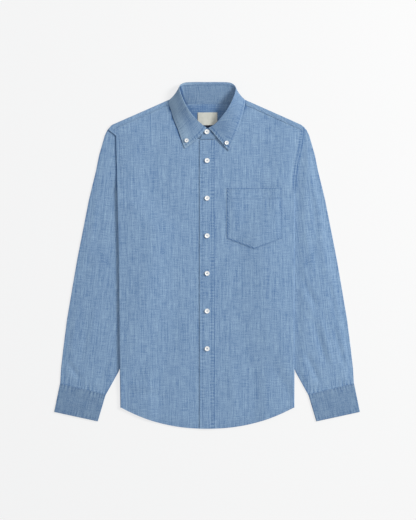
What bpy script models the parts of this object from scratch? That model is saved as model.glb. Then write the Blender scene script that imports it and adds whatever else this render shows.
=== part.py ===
"""A long-sleeved chambray shirt with a button-down collar, buttoned and laid flat on its back.

The sides of the body are turned under, and both sleeves lie beside the body and partly
beneath it. +Z is up, +Y points to the collar and the wearer's right is at -X. The origin is
on the surface, under the middle of the shirt. Lengths below are in millimetres, and
closed_mesh moves the middle to the origin and turns them into metres. Height means Y on the
laid-out shirt, and lift means Z.
"""

import math

import bpy
import numpy as np
from mathutils import Vector

METRES_PER_MM = 0.001
SHARP_FROM = math.radians(40)

# Cloth and layers
WALL = 1.0  # one layer of the shirting
STIFF_WALL = 1.2  # interlined cloth: collar, stand and cuffs
GAP = 0.3  # air between neighbouring pieces
LAYER = WALL + GAP  # from one layer to the next
TURN = LAYER / 2  # middle radius where a layer doubles back on itself
WIDE_TURN = 3 * LAYER / 2  # the same round the two layers of the back

# Height of the middle of the shirt, from hem to collar, in the outline's own heights
MIDDLE_HEIGHT = -1.34

# Body outline
NECK_HALF = 80.0  # half width of the neck opening
NECK_FRONT = 271.0  # height of the neck seam at the centre front
NECK_BACK = 355.6  # height of the neck seam at the centre back
SHOULDER_START = 99.0
SHOULDER_HEIGHT = 361.5  # height of the shoulder fold at SHOULDER_START
SHOULDER_SLOPE = 0.444
NECK_SIDE_RISE = 2.4  # the back neck seam is this much higher at the sides
NECK_CORNER = (1.0, 6.0)  # past NECK_HALF, where the neck seam turns into the shoulder fold
YOKE_FRONT_DEPTH = 12.0  # how far the yoke comes over the shoulder to the front
YOKE_BACK_SEAM = 262.0
YOKE_ENDS = {"right": 305.0, "left": 302.0}  # heights where the yoke's ends meet the body's edge
YOKE_END_INSET = 1.0
HEM_LOW = -408.8
HEM_RISE = 49.7
HEM_HALF = 205.0
HEM_POWER = 2.2

# Half width of the folded body against height, for the wearer's right and left
BODY_EDGE = (
    # height, right, left
    (-362.0, 204.0, 205.8),
    (-200.0, 206.5, 206.0),
    (0.0, 208.5, 206.5),
    (150.0, 212.0, 207.9),
    (185.0, 213.0, 209.6),
    (221.0, 214.0, 215.0),
    (254.0, 215.0, 222.5),
    (285.0, 215.5, 227.0),
    (305.0, 213.5, 228.5),
)

# Turned-under side of the body: full width, and the heights where it starts and is full
FLAP_WIDTH = 63.0
FLAP_LEAST = 0.4
TURN_LEAST = 0.04  # share of the half turn that the side keeps above the turned-under part
FLAP_FULL_AT = 59.0
FLAP_STARTS_AT = 150.0
FLAP_TURNED_AT = 120.0  # the edge is turned right round from here down
FLAP_LEAD = (155.0, 195.0)  # the body rises off the sleeve between these heights

# Slopes where a layer comes down off the pieces under it
SLOPE_LONG = 80.0
SLOPE_SHORT = 35.0
SLOPE_HEIGHTS = (-300.0, -150.0)

# Sleeves, mirrored for the wearer's left except for the armhole
SLEEVE_OUTER = (
    # distance from the middle, height
    (229.0, 303.0),
    (240.0, 283.0),
    (254.0, 235.0),
    (261.0, 200.0),
    (278.0, 130.0),
    (292.0, 59.0),
    (306.0, -12.0),
    (318.0, -82.0),
    (330.0, -153.0),
    (339.0, -224.0),
    (344.0, -275.0),
    (345.0, -306.6),
)
SLEEVE_COMES_OUT = -271.0  # below this height the whole sleeve lies beside the body
UNDERARM_SEAM = (
    # distance from the middle, height
    (144.0, 59.0),
    (178.0, -150.0),
    (208.5, SLEEVE_COMES_OUT),
    (238.0, -330.7),
)
ARMHOLE = {
    "right": ((206.0, 299.0), (206.0, 262.0), (199.0, 150.0)),
    "left": ((219.0, 296.0), (214.0, 254.0), (206.0, 221.0), (198.0, 150.0)),
}
SLEEVE_MARGIN = 13.0  # the body stays raised this far past the sleeve's inner edge
SLEEVE_PUFF = 2.2
PUFF_START = 2.0
PUFF_INNER = 26.0  # how far out from the body's edge the puff is full
PUFF_OUTER = 24.0  # how far in from the sleeve's outer fold the puff is full
SLEEVE_FOLDS = {
    # start across, start height, end across, end height, half width, height
    "left": (
        (212, -35, 257, -122, 11, -1.3),
        (247, -141, 278, -252, 10, -1.5),
        (299, -172, 325, -266, 9, -1.1),
        (231, -228, 264, -299, 9, -1.4),
        (214, -262, 243, -318, 8, 0.9),
        (268, -150, 297, -262, 9, 0.9),
    ),
    "right": (
        (300, -60, 270, -10, 14, -0.8),
        (330, -250, 296, -296, 10, -0.9),
        (226, -236, 258, -306, 9, -0.8),
    ),
}

# Cuffs: four corners, mirrored for the wearer's left
CUFF_OUTER_TOP = (345.1, -306.9)
CUFF_OUTER_LOW = (359.0, -369.0)
CUFF_INNER_LOW = (255.0, -392.0)
CUFF_INNER_TOP = (238.2, -331.0)

# Front band and pocket, as distances from the middle and heights
BAND_FREE_EDGE = -17.2
BAND_SEAM_EDGE = 17.7
FRONTS_MEET = 15.0
POCKET_INNER = 47.3
POCKET_OUTER = 176.2
POCKET_TOP = 156.8
POCKET_CORNER = 38.9
POCKET_TIP = (111.9, 14.1)

LABEL_LEFT = -21.7
LABEL_RIGHT = 24.3
LABEL_TOP = 335.4
LABEL_LOW = 305.5

# Collar: one row for each section of one half, from the centre back to the front edge
COLLAR_SECTIONS = (
    # seam across, seam height, seam lift, top lift, edge lift, roll, reach, arch
    (0.0, 356.8, 0.8, 12.0, 0.7, 11.0, 1.42, -2.7),
    (28.0, 356.8, 0.8, 12.2, 0.7, 11.0, 1.42, -2.7),
    (50.0, 357.0, 0.9, 13.0, 0.8, 10.0, 1.35, -1.8),
    (65.0, 357.6, 1.8, 16.0, 1.8, 8.0, 0.95, 3.0),
    (74.0, 354.5, 3.0, 20.0, 3.6, 6.0, 0.45, 8.0),
    (77.4, 345.0, 3.4, 23.0, 3.8, 5.5, 0.30, 10.0),
    (75.0, 331.0, 3.4, 22.5, 3.8, 5.5, 0.28, 10.0),
    (66.0, 312.0, 3.4, 18.5, 3.8, 5.0, 0.28, 8.5),
    (51.5, 294.5, 3.4, 13.0, 3.8, 4.0, 0.28, 6.0),
    (35.0, 282.6, 3.4, 9.0, 3.8, 3.0, 0.28, 3.8),
    (23.0, 276.6, 3.3, 6.6, 3.9, 2.4, 0.28, 2.8),
    (17.5, 274.6, 3.2, 5.4, 4.1, 2.0, 0.28, 2.4),
)
# The end of the stand on the wearer's left, which carries the neck button
BAND_END = (
    # seam across, seam height, seam lift, top across, top height, top lift
    (6.0, 272.9, 3.0, 0.5, 299.0, 4.2),
    (-5.0, 272.9, 2.9, -3.5, 299.2, 3.9),
    (-15.3, 273.2, 2.9, -6.9, 299.6, 3.9),
)
STAND_TOP = {
    # across, height for each section, from the centre back to the front edge
    "right": (
        (0.0, 399.0), (-30.0, 399.0), (-53.0, 398.4), (-62.5, 394.0), (-62.5, 384.0),
        (-57.0, 367.5), (-47.5, 347.0), (-37.5, 332.0), (-26.0, 319.0), (-16.5, 309.0),
        (-10.5, 303.2), (-8.3, 300.6),
    ),
    "left": (
        (0.0, 399.0), (30.0, 399.0), (54.0, 398.4), (64.5, 393.0), (65.0, 381.0),
        (58.0, 360.5), (48.5, 343.0), (39.5, 330.5), (28.0, 316.2), (17.5, 306.6),
        (9.0, 301.6), (4.4, 299.2),
    ),
}
LEAF_EDGE = {
    # across, height for each section, from the centre back to the tip
    "right": (
        (0.0, 368.0), (-34.0, 368.0), (-60.0, 368.5), (-78.0, 369.5), (-88.5, 364.0),
        (-88.2, 353.0), (-83.5, 338.5), (-77.5, 318.0), (-67.5, 294.0), (-60.0, 271.5),
        (-54.6, 257.0), (-51.8, 250.8),
    ),
    "left": (
        (0.0, 368.0), (34.0, 368.0), (60.0, 368.5), (78.0, 369.5), (88.9, 365.0),
        (89.1, 355.0), (85.5, 339.0), (79.8, 318.0), (71.0, 291.5), (62.2, 269.0),
        (54.4, 251.5), (51.3, 244.9),
    ),
}
SECTIONS_BETWEEN = 2  # steps from one collar section to the next
LEAF_STEPS = 7
STAND_STEPS = 3
LEAF_LOWEST = STIFF_WALL / 2 + 0.05  # the back of the fall stays just above the surface

# Buttons
BUTTON_SIDES = 16
BUTTON_RADIUS = 5.65
BUTTON_THICKNESS = 2.4
COLLAR_BUTTON_RADIUS = 4.7
COLLAR_BUTTON_THICKNESS = 2.0
BUTTON_LINE = 0.4
BUTTON_FIRST = 222.3
BUTTON_PITCH = 88.5
BUTTON_COUNT = 6
NECK_BUTTON = (-0.2, 290.0)
BAND_END_ROWS = 5  # rows at the end of the stand that the neck button may lie over
BUTTON_SEAT_POINTS = 9  # points of the collar that a button lies over
COLLAR_BUTTONS = {"right": (-47.8, 269.4), "left": (46.2, 263.8)}

SIDES = {"right": -1, "left": 1}

CLOTH_COLOUR = (0.222, 0.347, 0.521, 1.0)
LABEL_COLOUR = (0.560, 0.560, 0.500, 1.0)
BUTTON_COLOUR = (0.800, 0.800, 0.780, 1.0)


# ---------------------------------------------------------------- scene and materials


def clear_scene():
    for scene_object in list(bpy.data.objects):
        bpy.data.objects.remove(scene_object, do_unlink=True)


def material(name, colour, roughness):
    made = bpy.data.materials.new(name)
    made.use_nodes = True
    shader = made.node_tree.nodes["Principled BSDF"]
    shader.inputs["Base Color"].default_value = colour
    shader.inputs["Roughness"].default_value = roughness
    shader.inputs["Metallic"].default_value = 0.0
    return made


def closed_mesh(name, points, faces, finish):
    """An object from points in millimetres, its faces already turned outwards."""
    mesh = bpy.data.meshes.new(name)
    metres = (np.asarray(points, float) - (0.0, MIDDLE_HEIGHT, 0.0)) * METRES_PER_MM
    mesh.from_pydata([tuple(point) for point in metres], [], faces)
    mesh.materials.append(finish)
    mesh.shade_smooth()
    mesh.set_sharp_from_angle(angle=SHARP_FROM)
    made = bpy.data.objects.new(name, mesh)
    bpy.context.collection.objects.link(made)
    return made


# ---------------------------------------------------------------- ways to make a wall


def wall_from_grids(name, upper, lower, finish):
    """A closed wall between two grids of the same size, each [row][column] of points."""
    upper = np.asarray(upper, float)
    lower = np.asarray(lower, float)
    rows, columns = upper.shape[:2]
    count = rows * columns
    faces = []
    for r in range(rows - 1):
        for c in range(columns - 1):
            a = r * columns + c
            b = a + columns
            for corners in ((a, a + 1, b + 1), (a, b + 1, b)):
                faces.append(corners)
                faces.append(tuple(count + i for i in reversed(corners)))
    rim = [c for c in range(columns)]
    rim += [r * columns + columns - 1 for r in range(1, rows)]
    rim += [(rows - 1) * columns + c for c in range(columns - 2, -1, -1)]
    rim += [r * columns for r in range(rows - 2, 0, -1)]
    for i, a in enumerate(rim):
        b = rim[(i + 1) % len(rim)]
        faces.append((b, a, count + a, count + b))
    points = np.concatenate([upper.reshape(-1, 3), lower.reshape(-1, 3)])
    return closed_mesh(name, points, faces, finish)


def tube_from_rings(name, outer, inner, finish):
    """A tube open at both ends from two stacks of rings, [station][round] of points."""
    outer = np.asarray(outer, float)
    inner = np.asarray(inner, float)
    stations, around = outer.shape[:2]
    count = stations * around
    faces = []
    for s in range(stations - 1):
        for k in range(around):
            a = s * around + k
            b = s * around + (k + 1) % around
            quad = (a, a + around, b + around, b)
            faces.append(quad)
            faces.append(tuple(count + i for i in reversed(quad)))
    last = (stations - 1) * around
    for k in range(around):
        after = (k + 1) % around
        faces.append((k, after, count + after, count + k))
        faces.append((last + after, last + k, count + last + k, count + last + after))
    points = np.concatenate([outer.reshape(-1, 3), inner.reshape(-1, 3)])
    return closed_mesh(name, points, faces, finish)


def wall_on_middle(middle, thickness):
    """The two faces of a wall of this thickness round a grid of middle points."""
    along = np.gradient(middle, axis=0)
    across = np.gradient(middle, axis=1)
    normal = np.cross(across, along)
    normal /= np.linalg.norm(normal, axis=2, keepdims=True)
    return middle + normal * thickness / 2, middle - normal * thickness / 2


# ---------------------------------------------------------------- outline and heights


def ease(start, end, value):
    """0 at start, 1 at end, smooth between."""
    t = np.clip((value - start) / (end - start), 0.0, 1.0)
    return t * t * (3.0 - 2.0 * t)


def read_row(table, value, column):
    rows = np.asarray(table, float)
    return float(np.interp(value, rows[:, 0], rows[:, column]))


def body_edge(y, side):
    return read_row(BODY_EDGE, y, 1 if side == "right" else 2)


def shoulder(x):
    """Height of the shoulder fold, or of the back neck seam between the shoulders."""
    across = abs(x)
    fold = SHOULDER_HEIGHT - (across - SHOULDER_START) * SHOULDER_SLOPE
    neck = NECK_BACK + NECK_SIDE_RISE * min(across / NECK_HALF, 1.0) ** 6
    return neck + (fold - neck) * float(ease(*NECK_CORNER, across - NECK_HALF))


def front_top(x):
    """Height of the upper edge of a front: the neck curve, then the yoke seam."""
    across = abs(x)
    neck_side = SHOULDER_HEIGHT + (SHOULDER_START - NECK_HALF) * SHOULDER_SLOPE
    neck_side -= YOKE_FRONT_DEPTH
    if across >= NECK_HALF:
        return neck_side - (across - NECK_HALF) * SHOULDER_SLOPE
    drop = neck_side - NECK_FRONT
    return NECK_FRONT + drop * (1.0 - math.sqrt(1.0 - (across / NECK_HALF) ** 2))


def hem(x):
    return HEM_LOW + HEM_RISE * (abs(x) / HEM_HALF) ** HEM_POWER


def flap_turn(y):
    """How far round the side fold the cloth goes at this height, up to half a turn."""
    share = (FLAP_STARTS_AT - y) / (FLAP_STARTS_AT - FLAP_TURNED_AT)
    return math.pi * min(max(share, TURN_LEAST), 1.0)


def flap_width(y):
    """Width of the flat part of the side that is turned under, at this height."""
    if flap_turn(y) < math.pi:
        return FLAP_LEAST
    return FLAP_WIDTH * min((FLAP_STARTS_AT - y) / (FLAP_STARTS_AT - FLAP_FULL_AT), 1.0)


def sleeve_inner(y, side):
    """How far from the middle the hidden inner edge of the sleeve lies."""
    points = sorted((h, a) for a, h in ARMHOLE[side] + UNDERARM_SEAM)
    heights, across = zip(*points)
    return float(np.interp(y, heights, across))


def slope_width(y):
    return float(np.interp(y, SLOPE_HEIGHTS, (SLOPE_SHORT, SLOPE_LONG)))


def over_sleeve(x, y):
    """Height of whatever lies on the sleeve: two layers there, down to 0 beside it."""
    side = "right" if x < 0 else "left"
    off = sleeve_inner(y, side) - SLEEVE_MARGIN - abs(x)
    return 2 * LAYER * (1.0 - float(ease(0.0, slope_width(y), off)))


def under_back(x, y):
    """Height of the underside of the back: over the sleeve and the turned-under flap."""
    side = "right" if x < 0 else "left"
    off = body_edge(y, side) - flap_width(y) - abs(x)
    flap = 1.0 - float(ease(0.0, slope_width(y), off))
    flap *= 1.0 - float(ease(FLAP_LEAD[0], FLAP_LEAD[1], y))
    return over_sleeve(x, y) + 2 * LAYER * flap


def front_surface(x, y):
    """Height of the upper face of the fronts."""
    return under_back(x, y) + LAYER + WALL


# ---------------------------------------------------------------- body panels

FOLD_STEPS = 4
FLAP_STEPS = 2
LOW_ROW = -340.0  # the rows below this one follow the hem
PANEL_HEIGHTS = (
    LOW_ROW, -305.0, -255.0, -205.0, -150.0, -95.0, -40.0, 15.0, 59.0,
    90.0, FLAP_TURNED_AT, 130.0, 140.0, FLAP_STARTS_AT, 172.0, 195.0, 225.0, YOKE_BACK_SEAM,
)
TOP_ROWS = 3  # rows of a front above the seam of the back and the yoke
CROSSING_STEPS = 12


def turned_side(y, side, radius, level):
    """Round the side fold and back under: rows of x, z and the wall's normal (x, z)."""
    sign = SIDES[side]
    angle = flap_turn(y)
    centre = body_edge(y, side) - WALL / 2 - WIDE_TURN
    top = under_back(sign * centre, y) + level + WALL / 2
    rows = []
    for k in range(FOLD_STEPS + 1):
        a = angle * k / FOLD_STEPS
        x = centre + radius * math.sin(a)
        z = top - radius * (1.0 - math.cos(a))
        rows.append((sign * x, z, sign * math.sin(a), math.cos(a)))
    straight = flap_width(y)
    start_x, start_z = abs(rows[-1][0]), rows[-1][1]
    settled = over_sleeve(sign * start_x, y)
    for k in range(1, FLAP_STEPS + 1):
        s = straight * k / FLAP_STEPS
        x = start_x + s * math.cos(angle)
        z = start_z - s * math.sin(angle) + over_sleeve(sign * x, y) - settled
        rows.append((sign * x, z, sign * math.sin(angle), math.cos(angle)))
    return rows


def crossing(share, side, top_of):
    """Height where a column at this share of the half width meets the top outline."""
    y = YOKE_BACK_SEAM
    for _ in range(CROSSING_STEPS):
        y = top_of(SIDES[side] * share * body_edge(y, side))
    return y


def wall_along(points):
    """Splits (x, y, z, normal x, normal z) into the wall's two faces."""
    points = np.asarray(points, float)
    middle = points[..., :3]
    normal = np.zeros_like(middle)
    normal[..., 0] = points[..., 3]
    normal[..., 2] = points[..., 4]
    return middle + normal * WALL / 2, middle - normal * WALL / 2


# Columns of the body, as shares of its half width
PANEL_SHARES = (0.14, 0.26, 0.34, 0.385, 0.48, 0.58, 0.68, 0.78, 0.89)


def column_heights(share, side, top_of=None):
    """Heights of a column's points, from the hem up to the top outline, if it has one."""
    bottom = hem(share * HEM_HALF)
    heights = [bottom, (bottom + LOW_ROW) / 2] + list(PANEL_HEIGHTS)
    if top_of is not None:
        top = crossing(share, side, top_of)
        above = top - YOKE_BACK_SEAM
        heights += [YOKE_BACK_SEAM + above * (r + 1) / TOP_ROWS for r in range(TOP_ROWS)]
    return heights


def panel_half(side, first, radius, level, top_of=None):
    """Points of half the body, [row][column], from its first share round the side fold."""
    sign = SIDES[side]
    columns = []
    for share in first + PANEL_SHARES:
        column = []
        for y in column_heights(share, side, top_of):
            x = sign * share * (body_edge(y, side) - WALL / 2 - WIDE_TURN)
            column.append((x, y, under_back(x, y) + level + WALL / 2, 0.0, 1.0))
        columns.append(column)
    rows = [list(row) for row in zip(*columns)]
    for row, y in zip(rows, column_heights(1.0, side, top_of)):
        for x, z, nx, nz in turned_side(y, side, radius, level):
            row.append((x, y, z, nx, nz))
    return np.array(rows)


def front(side, finish):
    """One front, from under the band round the side fold to the side seam."""
    meets = -FRONTS_MEET + GAP if side == "right" else FRONTS_MEET
    grid = panel_half(side, (meets / HEM_HALF,), WIDE_TURN, LAYER, front_top)
    grid[:, 0, 0] = SIDES[side] * meets
    upper, lower = wall_along(grid)
    if side == "right":
        upper, lower = upper[:, ::-1], lower[:, ::-1]
    return wall_from_grids("front_" + side, upper, lower, finish)


def back(finish):
    """The back panel, both sides turned under inside the fronts."""
    right = panel_half("right", (0.0,), TURN, 0.0)
    left = panel_half("left", (0.0,), TURN, 0.0)
    grid = np.concatenate([right[:, ::-1], left[:, 1:]], axis=1)
    grid[-1, :, 1] -= GAP
    upper, lower = wall_along(grid)
    return wall_from_grids("back", upper, lower, finish)


YOKE_COLUMNS = (0.0, 30.0, 57.0, 73.0, 80.0, 83.5, 87.0, 104.0, 125.0, 146.0, 168.0, 190.0)
YOKE_ROWS = 4
YOKE_STRIP_ROWS = 1
YOKE_STRIP_LEAST = 0.3  # across the back neck, where the yoke doesn't come to the front
YOKE_TURN_LEAST = 0.15


def yoke_column(x):
    """Up the back, over the shoulder and down to the front seam: y, z and the normal."""
    fold = shoulder(x)
    past_neck = abs(x) - NECK_HALF
    over = YOKE_FRONT_DEPTH * float(ease(2 * NECK_CORNER[0], NECK_CORNER[1], past_neck))
    strip = max(over - WALL / 2 - TURN - GAP, YOKE_STRIP_LEAST)
    angle = max(math.pi * float(ease(*NECK_CORNER, past_neck)), YOKE_TURN_LEAST)
    centre = fold - WALL / 2 - TURN
    rows = []
    for k in range(YOKE_ROWS):
        y = YOKE_BACK_SEAM + (centre - YOKE_BACK_SEAM) * k / YOKE_ROWS
        rows.append((y, under_back(x, y) + WALL / 2, 0.0, -1.0))
    base = under_back(x, centre) + WALL / 2
    for k in range(FOLD_STEPS + 1):
        a = angle * k / FOLD_STEPS
        y = centre + TURN * math.sin(a)
        z = base + TURN * (1.0 - math.cos(a))
        rows.append((y, z, math.sin(a), -math.cos(a)))
    start_y, start_z = rows[-1][0], rows[-1][1]
    for k in range(1, YOKE_STRIP_ROWS + 1):
        s = strip * k / YOKE_STRIP_ROWS
        y = start_y + s * math.cos(angle)
        rise = under_back(x, y) - under_back(x, start_y)
        z = start_z + s * math.sin(angle) + rise
        rows.append((y, z, math.sin(angle), -math.cos(angle)))
    return rows


def yoke(finish):
    left_end, right_end = (
        SIDES[side] * (body_edge(YOKE_ENDS[side], side) - YOKE_END_INSET)
        for side in ("left", "right")
    )
    places = [right_end] + [-c for c in reversed(YOKE_COLUMNS[1:])]
    places += list(YOKE_COLUMNS) + [left_end]
    outer, inner = [], []
    for x in places:
        outer_column, inner_column = [], []
        for y, z, ny, nz in yoke_column(x):
            outer_column.append((x, y + ny * WALL / 2, z + nz * WALL / 2))
            inner_column.append((x, y - ny * WALL / 2, z - nz * WALL / 2))
        outer.append(outer_column)
        inner.append(inner_column)
    return wall_from_grids("yoke", outer, inner, finish)


def strip_on_front(name, outline, base, thickness, finish):
    """A wall on the fronts: outline gives [row][column] of (x, y)."""
    lower = [[(x, y, base(x, y)) for x, y in row] for row in outline]
    upper = [[(x, y, z + thickness) for x, y, z in row] for row in lower]
    return wall_from_grids(name, upper, lower, finish)


def on_fronts(x, y):
    return front_surface(x, y) + GAP


def eased_on_fronts(x, y):
    return on_fronts(x, y) + POCKET_EASE


def on_back_neck(x, y):
    return LAYER


BAND_ROWS = 24
BAND_COLUMNS = 3


def placket(finish):
    rows = []
    for r in range(BAND_ROWS + 1):
        row = []
        for c in range(BAND_COLUMNS + 1):
            x = BAND_FREE_EDGE + (BAND_SEAM_EDGE - BAND_FREE_EDGE) * c / BAND_COLUMNS
            low = hem(x)
            row.append((x, low + (NECK_FRONT - low) * r / BAND_ROWS))
        rows.append(row)
    return strip_on_front("placket", rows, on_fronts, WALL, finish)


POCKET_COLUMNS = 12
POCKET_ROWS = 6
POCKET_EASE = 0.4  # the pocket stands this much looser than its edge gap


def pocket(finish):
    rows = []
    for r in range(POCKET_ROWS + 1):
        row = []
        for c in range(POCKET_COLUMNS + 1):
            x = POCKET_INNER + (POCKET_OUTER - POCKET_INNER) * c / POCKET_COLUMNS
            tip_x, tip_y = POCKET_TIP
            reach = tip_x - POCKET_INNER if x < tip_x else POCKET_OUTER - tip_x
            low = tip_y + (POCKET_CORNER - tip_y) * abs(x - tip_x) / reach
            row.append((x, low + (POCKET_TOP - low) * r / POCKET_ROWS))
        rows.append(row)
    return strip_on_front("pocket", rows, eased_on_fronts, WALL, finish)


def neck_label(finish):
    rows = [[(LABEL_LEFT, LABEL_LOW), (LABEL_RIGHT, LABEL_LOW)]]
    rows.append([(LABEL_LEFT, LABEL_TOP), (LABEL_RIGHT, LABEL_TOP)])
    return strip_on_front("neck_label", rows, on_back_neck, WALL, finish)


# ---------------------------------------------------------------- sleeves and cuffs

FOLD_ANGLES = (45.0, 0.0, -45.0)


def along(points, share):
    """The point at this share of the length of a line through the points."""
    line = np.asarray(points, float)
    lengths = np.linalg.norm(np.diff(line, axis=0), axis=1)
    reached = np.concatenate([[0.0], np.cumsum(lengths)]) / lengths.sum()
    return np.array([np.interp(share, reached, line[:, k]) for k in (0, 1)])


def sleeve_outer(y):
    rows = sorted((h, a) for a, h in SLEEVE_OUTER)
    heights, across = zip(*rows)
    return float(np.interp(y, heights, across))


def fold_height(across, y, side):
    """Soft ridges and troughs of the sleeve, each along a line."""
    total = 0.0
    for x0, y0, x1, y1, half_width, height in SLEEVE_FOLDS[side]:
        run = np.array([x1 - x0, y1 - y0], float)
        length = np.linalg.norm(run)
        run /= length
        offset = np.array([across - x0, y - y0], float)
        t = float(offset @ run) / length
        aside = abs(offset[0] * run[1] - offset[1] * run[0])
        ends = float(ease(-0.12, 0.25, t)) * (1.0 - float(ease(0.75, 1.12, t)))
        total += height * ends * (1.0 - float(ease(0.0, half_width, aside)))
    return total


def sleeve_top(across, y, side):
    """Height of the upper face of the sleeve."""
    inner = float(ease(PUFF_START, PUFF_INNER, across - body_edge(y, side)))
    if y < SLEEVE_COMES_OUT:
        inner = float(ease(0.0, PUFF_INNER, across - sleeve_inner(y, side)))
    outer = float(ease(PUFF_START, PUFF_OUTER, sleeve_outer(y) - across))
    shown = inner * outer
    return LAYER + WALL + shown * (SLEEVE_PUFF + fold_height(across, y, side))


def round_fold(end, height, outward, radius, angles):
    """Points round the side fold at one end of a flattened tube."""
    centre = np.array([end[0], end[1], height])
    up = np.array([0.0, 0.0, 1.0])
    points = []
    for angle in angles:
        a = math.radians(angle)
        points.append(tuple(centre + radius * (math.cos(a) * outward + math.sin(a) * up)))
    return points


def flat_ring(points, heights, wall, out_direction):
    """Outer and inner loop of a flattened tube: over the top, round and back below.

    points run from the outer fold to the inner one, heights are those of the upper face,
    and out_direction points out of the outer fold.
    """
    height = wall + GAP / 2
    outward = np.array([out_direction[0], out_direction[1], 0.0])
    below = [points[-1]] + points[1:-1:2][::-1] + [points[0]]
    loops = []
    for depth in (0.0, wall):
        loop = [(x, y, top - depth) for (x, y), top in zip(points, heights)]
        loop += round_fold(points[-1], height, -outward, height - depth, FOLD_ANGLES)
        loop += [(x, y, depth) for x, y in below]
        loop += round_fold(points[0], height, outward, height - depth, FOLD_ANGLES[::-1])
        loops.append(loop)
    return loops


SLEEVE_ACROSS = 13
SLEEVE_STATIONS = 17


def sleeve(side, finish):
    """A two-layer sleeve from the armhole to the cuff seam."""
    sign = SIDES[side]
    inset = WALL + GAP / 2
    armhole = (SLEEVE_OUTER[0],) + ARMHOLE[side] + (UNDERARM_SEAM[0],)
    cuff_line = (SLEEVE_OUTER[-1], UNDERARM_SEAM[-1])
    outer_loops, inner_loops = [], []
    for s in range(SLEEVE_STATIONS + 1):
        v = s / SLEEVE_STATIONS
        outer_point = along(SLEEVE_OUTER, v)
        inner_point = along(UNDERARM_SEAM, v)
        outward = outer_point - inner_point
        outward /= np.linalg.norm(outward)
        points, heights = [], []
        for k in range(SLEEVE_ACROSS):
            u = k / (SLEEVE_ACROSS - 1)
            ruled = (1 - u) * outer_point + u * inner_point
            ends = (1 - v) * along(armhole, u) + v * along(cuff_line, u)
            corners = (1 - v) * ((1 - u) * along(armhole, 0) + u * along(armhole, 1))
            corners = corners + v * ((1 - u) * along(cuff_line, 0) + u * along(cuff_line, 1))
            point = ruled + ends - corners
            if k == 0:
                point = point - outward * inset
            if k == SLEEVE_ACROSS - 1:
                point = point + outward * inset
            points.append((sign * point[0], point[1]))
            heights.append(sleeve_top(point[0], point[1], side))
        heights[0] = heights[-1] = LAYER + WALL
        out_direction = (sign * outward[0], outward[1])
        outer, inner = flat_ring(points, heights, WALL, out_direction)
        outer_loops.append(outer)
        inner_loops.append(inner)
    if sign > 0:
        outer_loops = [loop[::-1] for loop in outer_loops]
        inner_loops = [loop[::-1] for loop in inner_loops]
    return tube_from_rings("sleeve_" + side, outer_loops, inner_loops, finish)


CUFF_ACROSS = 9
CUFF_STATIONS = 3
CUFF_CROWN = 0.5


def cuff(side, finish):
    """A cuff, closed and pressed flat."""
    sign = SIDES[side]
    inset = STIFF_WALL + GAP / 2
    outer_loops, inner_loops = [], []
    for s in range(CUFF_STATIONS + 1):
        v = s / CUFF_STATIONS
        outer_point = along((CUFF_OUTER_TOP, CUFF_OUTER_LOW), v)
        inner_point = along((CUFF_INNER_TOP, CUFF_INNER_LOW), v)
        down = np.array(CUFF_OUTER_LOW) - np.array(CUFF_OUTER_TOP)
        down /= np.linalg.norm(down)
        shift = GAP * (1 - v) * down
        outward = outer_point - inner_point
        outward /= np.linalg.norm(outward)
        points, heights = [], []
        for k in range(CUFF_ACROSS):
            u = k / (CUFF_ACROSS - 1)
            point = (1 - u) * (outer_point - outward * inset)
            point = point + u * (inner_point + outward * inset) + shift
            crown = CUFF_CROWN * math.sin(math.pi * u)
            points.append((sign * point[0], point[1]))
            heights.append(2 * STIFF_WALL + GAP + crown)
        out_direction = (sign * outward[0], outward[1])
        outer, inner = flat_ring(points, heights, STIFF_WALL, out_direction)
        outer_loops.append(outer)
        inner_loops.append(inner)
    if sign > 0:
        outer_loops = [loop[::-1] for loop in outer_loops]
        inner_loops = [loop[::-1] for loop in inner_loops]
    return tube_from_rings("cuff_" + side, outer_loops, inner_loops, finish)


# ---------------------------------------------------------------- collar


def smooth_rows(rows, between):
    """Rows with this many steps from each to the next, on a curve through them all."""
    rows = np.asarray(rows, float)
    padded = np.vstack([2 * rows[0] - rows[1], rows, 2 * rows[-1] - rows[-2]])
    made = []
    for i in range(1, len(padded) - 2):
        before, a, b, after = padded[i - 1 : i + 3]
        for k in range(between):
            t = k / between
            made.append(
                0.5
                * (
                    2 * a
                    + (b - before) * t
                    + (2 * before - 5 * a + 4 * b - after) * t**2
                    + (3 * a - before - 3 * b + after) * t**3
                )
            )
    made.append(rows[-1])
    return np.array(made)


def collar_rows():
    """Seam, stand top and leaf edge points and three shape numbers, round the neck."""
    halves = {}
    for side, sign in SIDES.items():
        half = []
        for section, top, edge in zip(COLLAR_SECTIONS, STAND_TOP[side], LEAF_EDGE[side]):
            across, height, lift, top_lift, edge_lift, roll, reach, arch = section
            half.append(
                (sign * across, height, lift, top[0], top[1], top_lift)
                + (edge[0], edge[1], edge_lift, roll, reach, arch)
            )
        halves[side] = half
    rows = halves["right"][::-1] + halves["left"][1:]
    return smooth_rows(rows, SECTIONS_BETWEEN)


def stand_middle():
    """The band round the neck; its end on the wearer's left runs across the front."""
    rows = [row[0:6] for row in collar_rows()] + [np.array(row) for row in BAND_END]
    shares = [k / STAND_STEPS for k in range(STAND_STEPS + 1)]
    return np.array([[row[0:3] + (row[3:6] - row[0:3]) * t for t in shares] for row in rows])


def collar_stand(finish):
    outer, inner = wall_on_middle(stand_middle(), STIFF_WALL)
    return wall_from_grids("collar_stand", outer, inner, finish)


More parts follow.
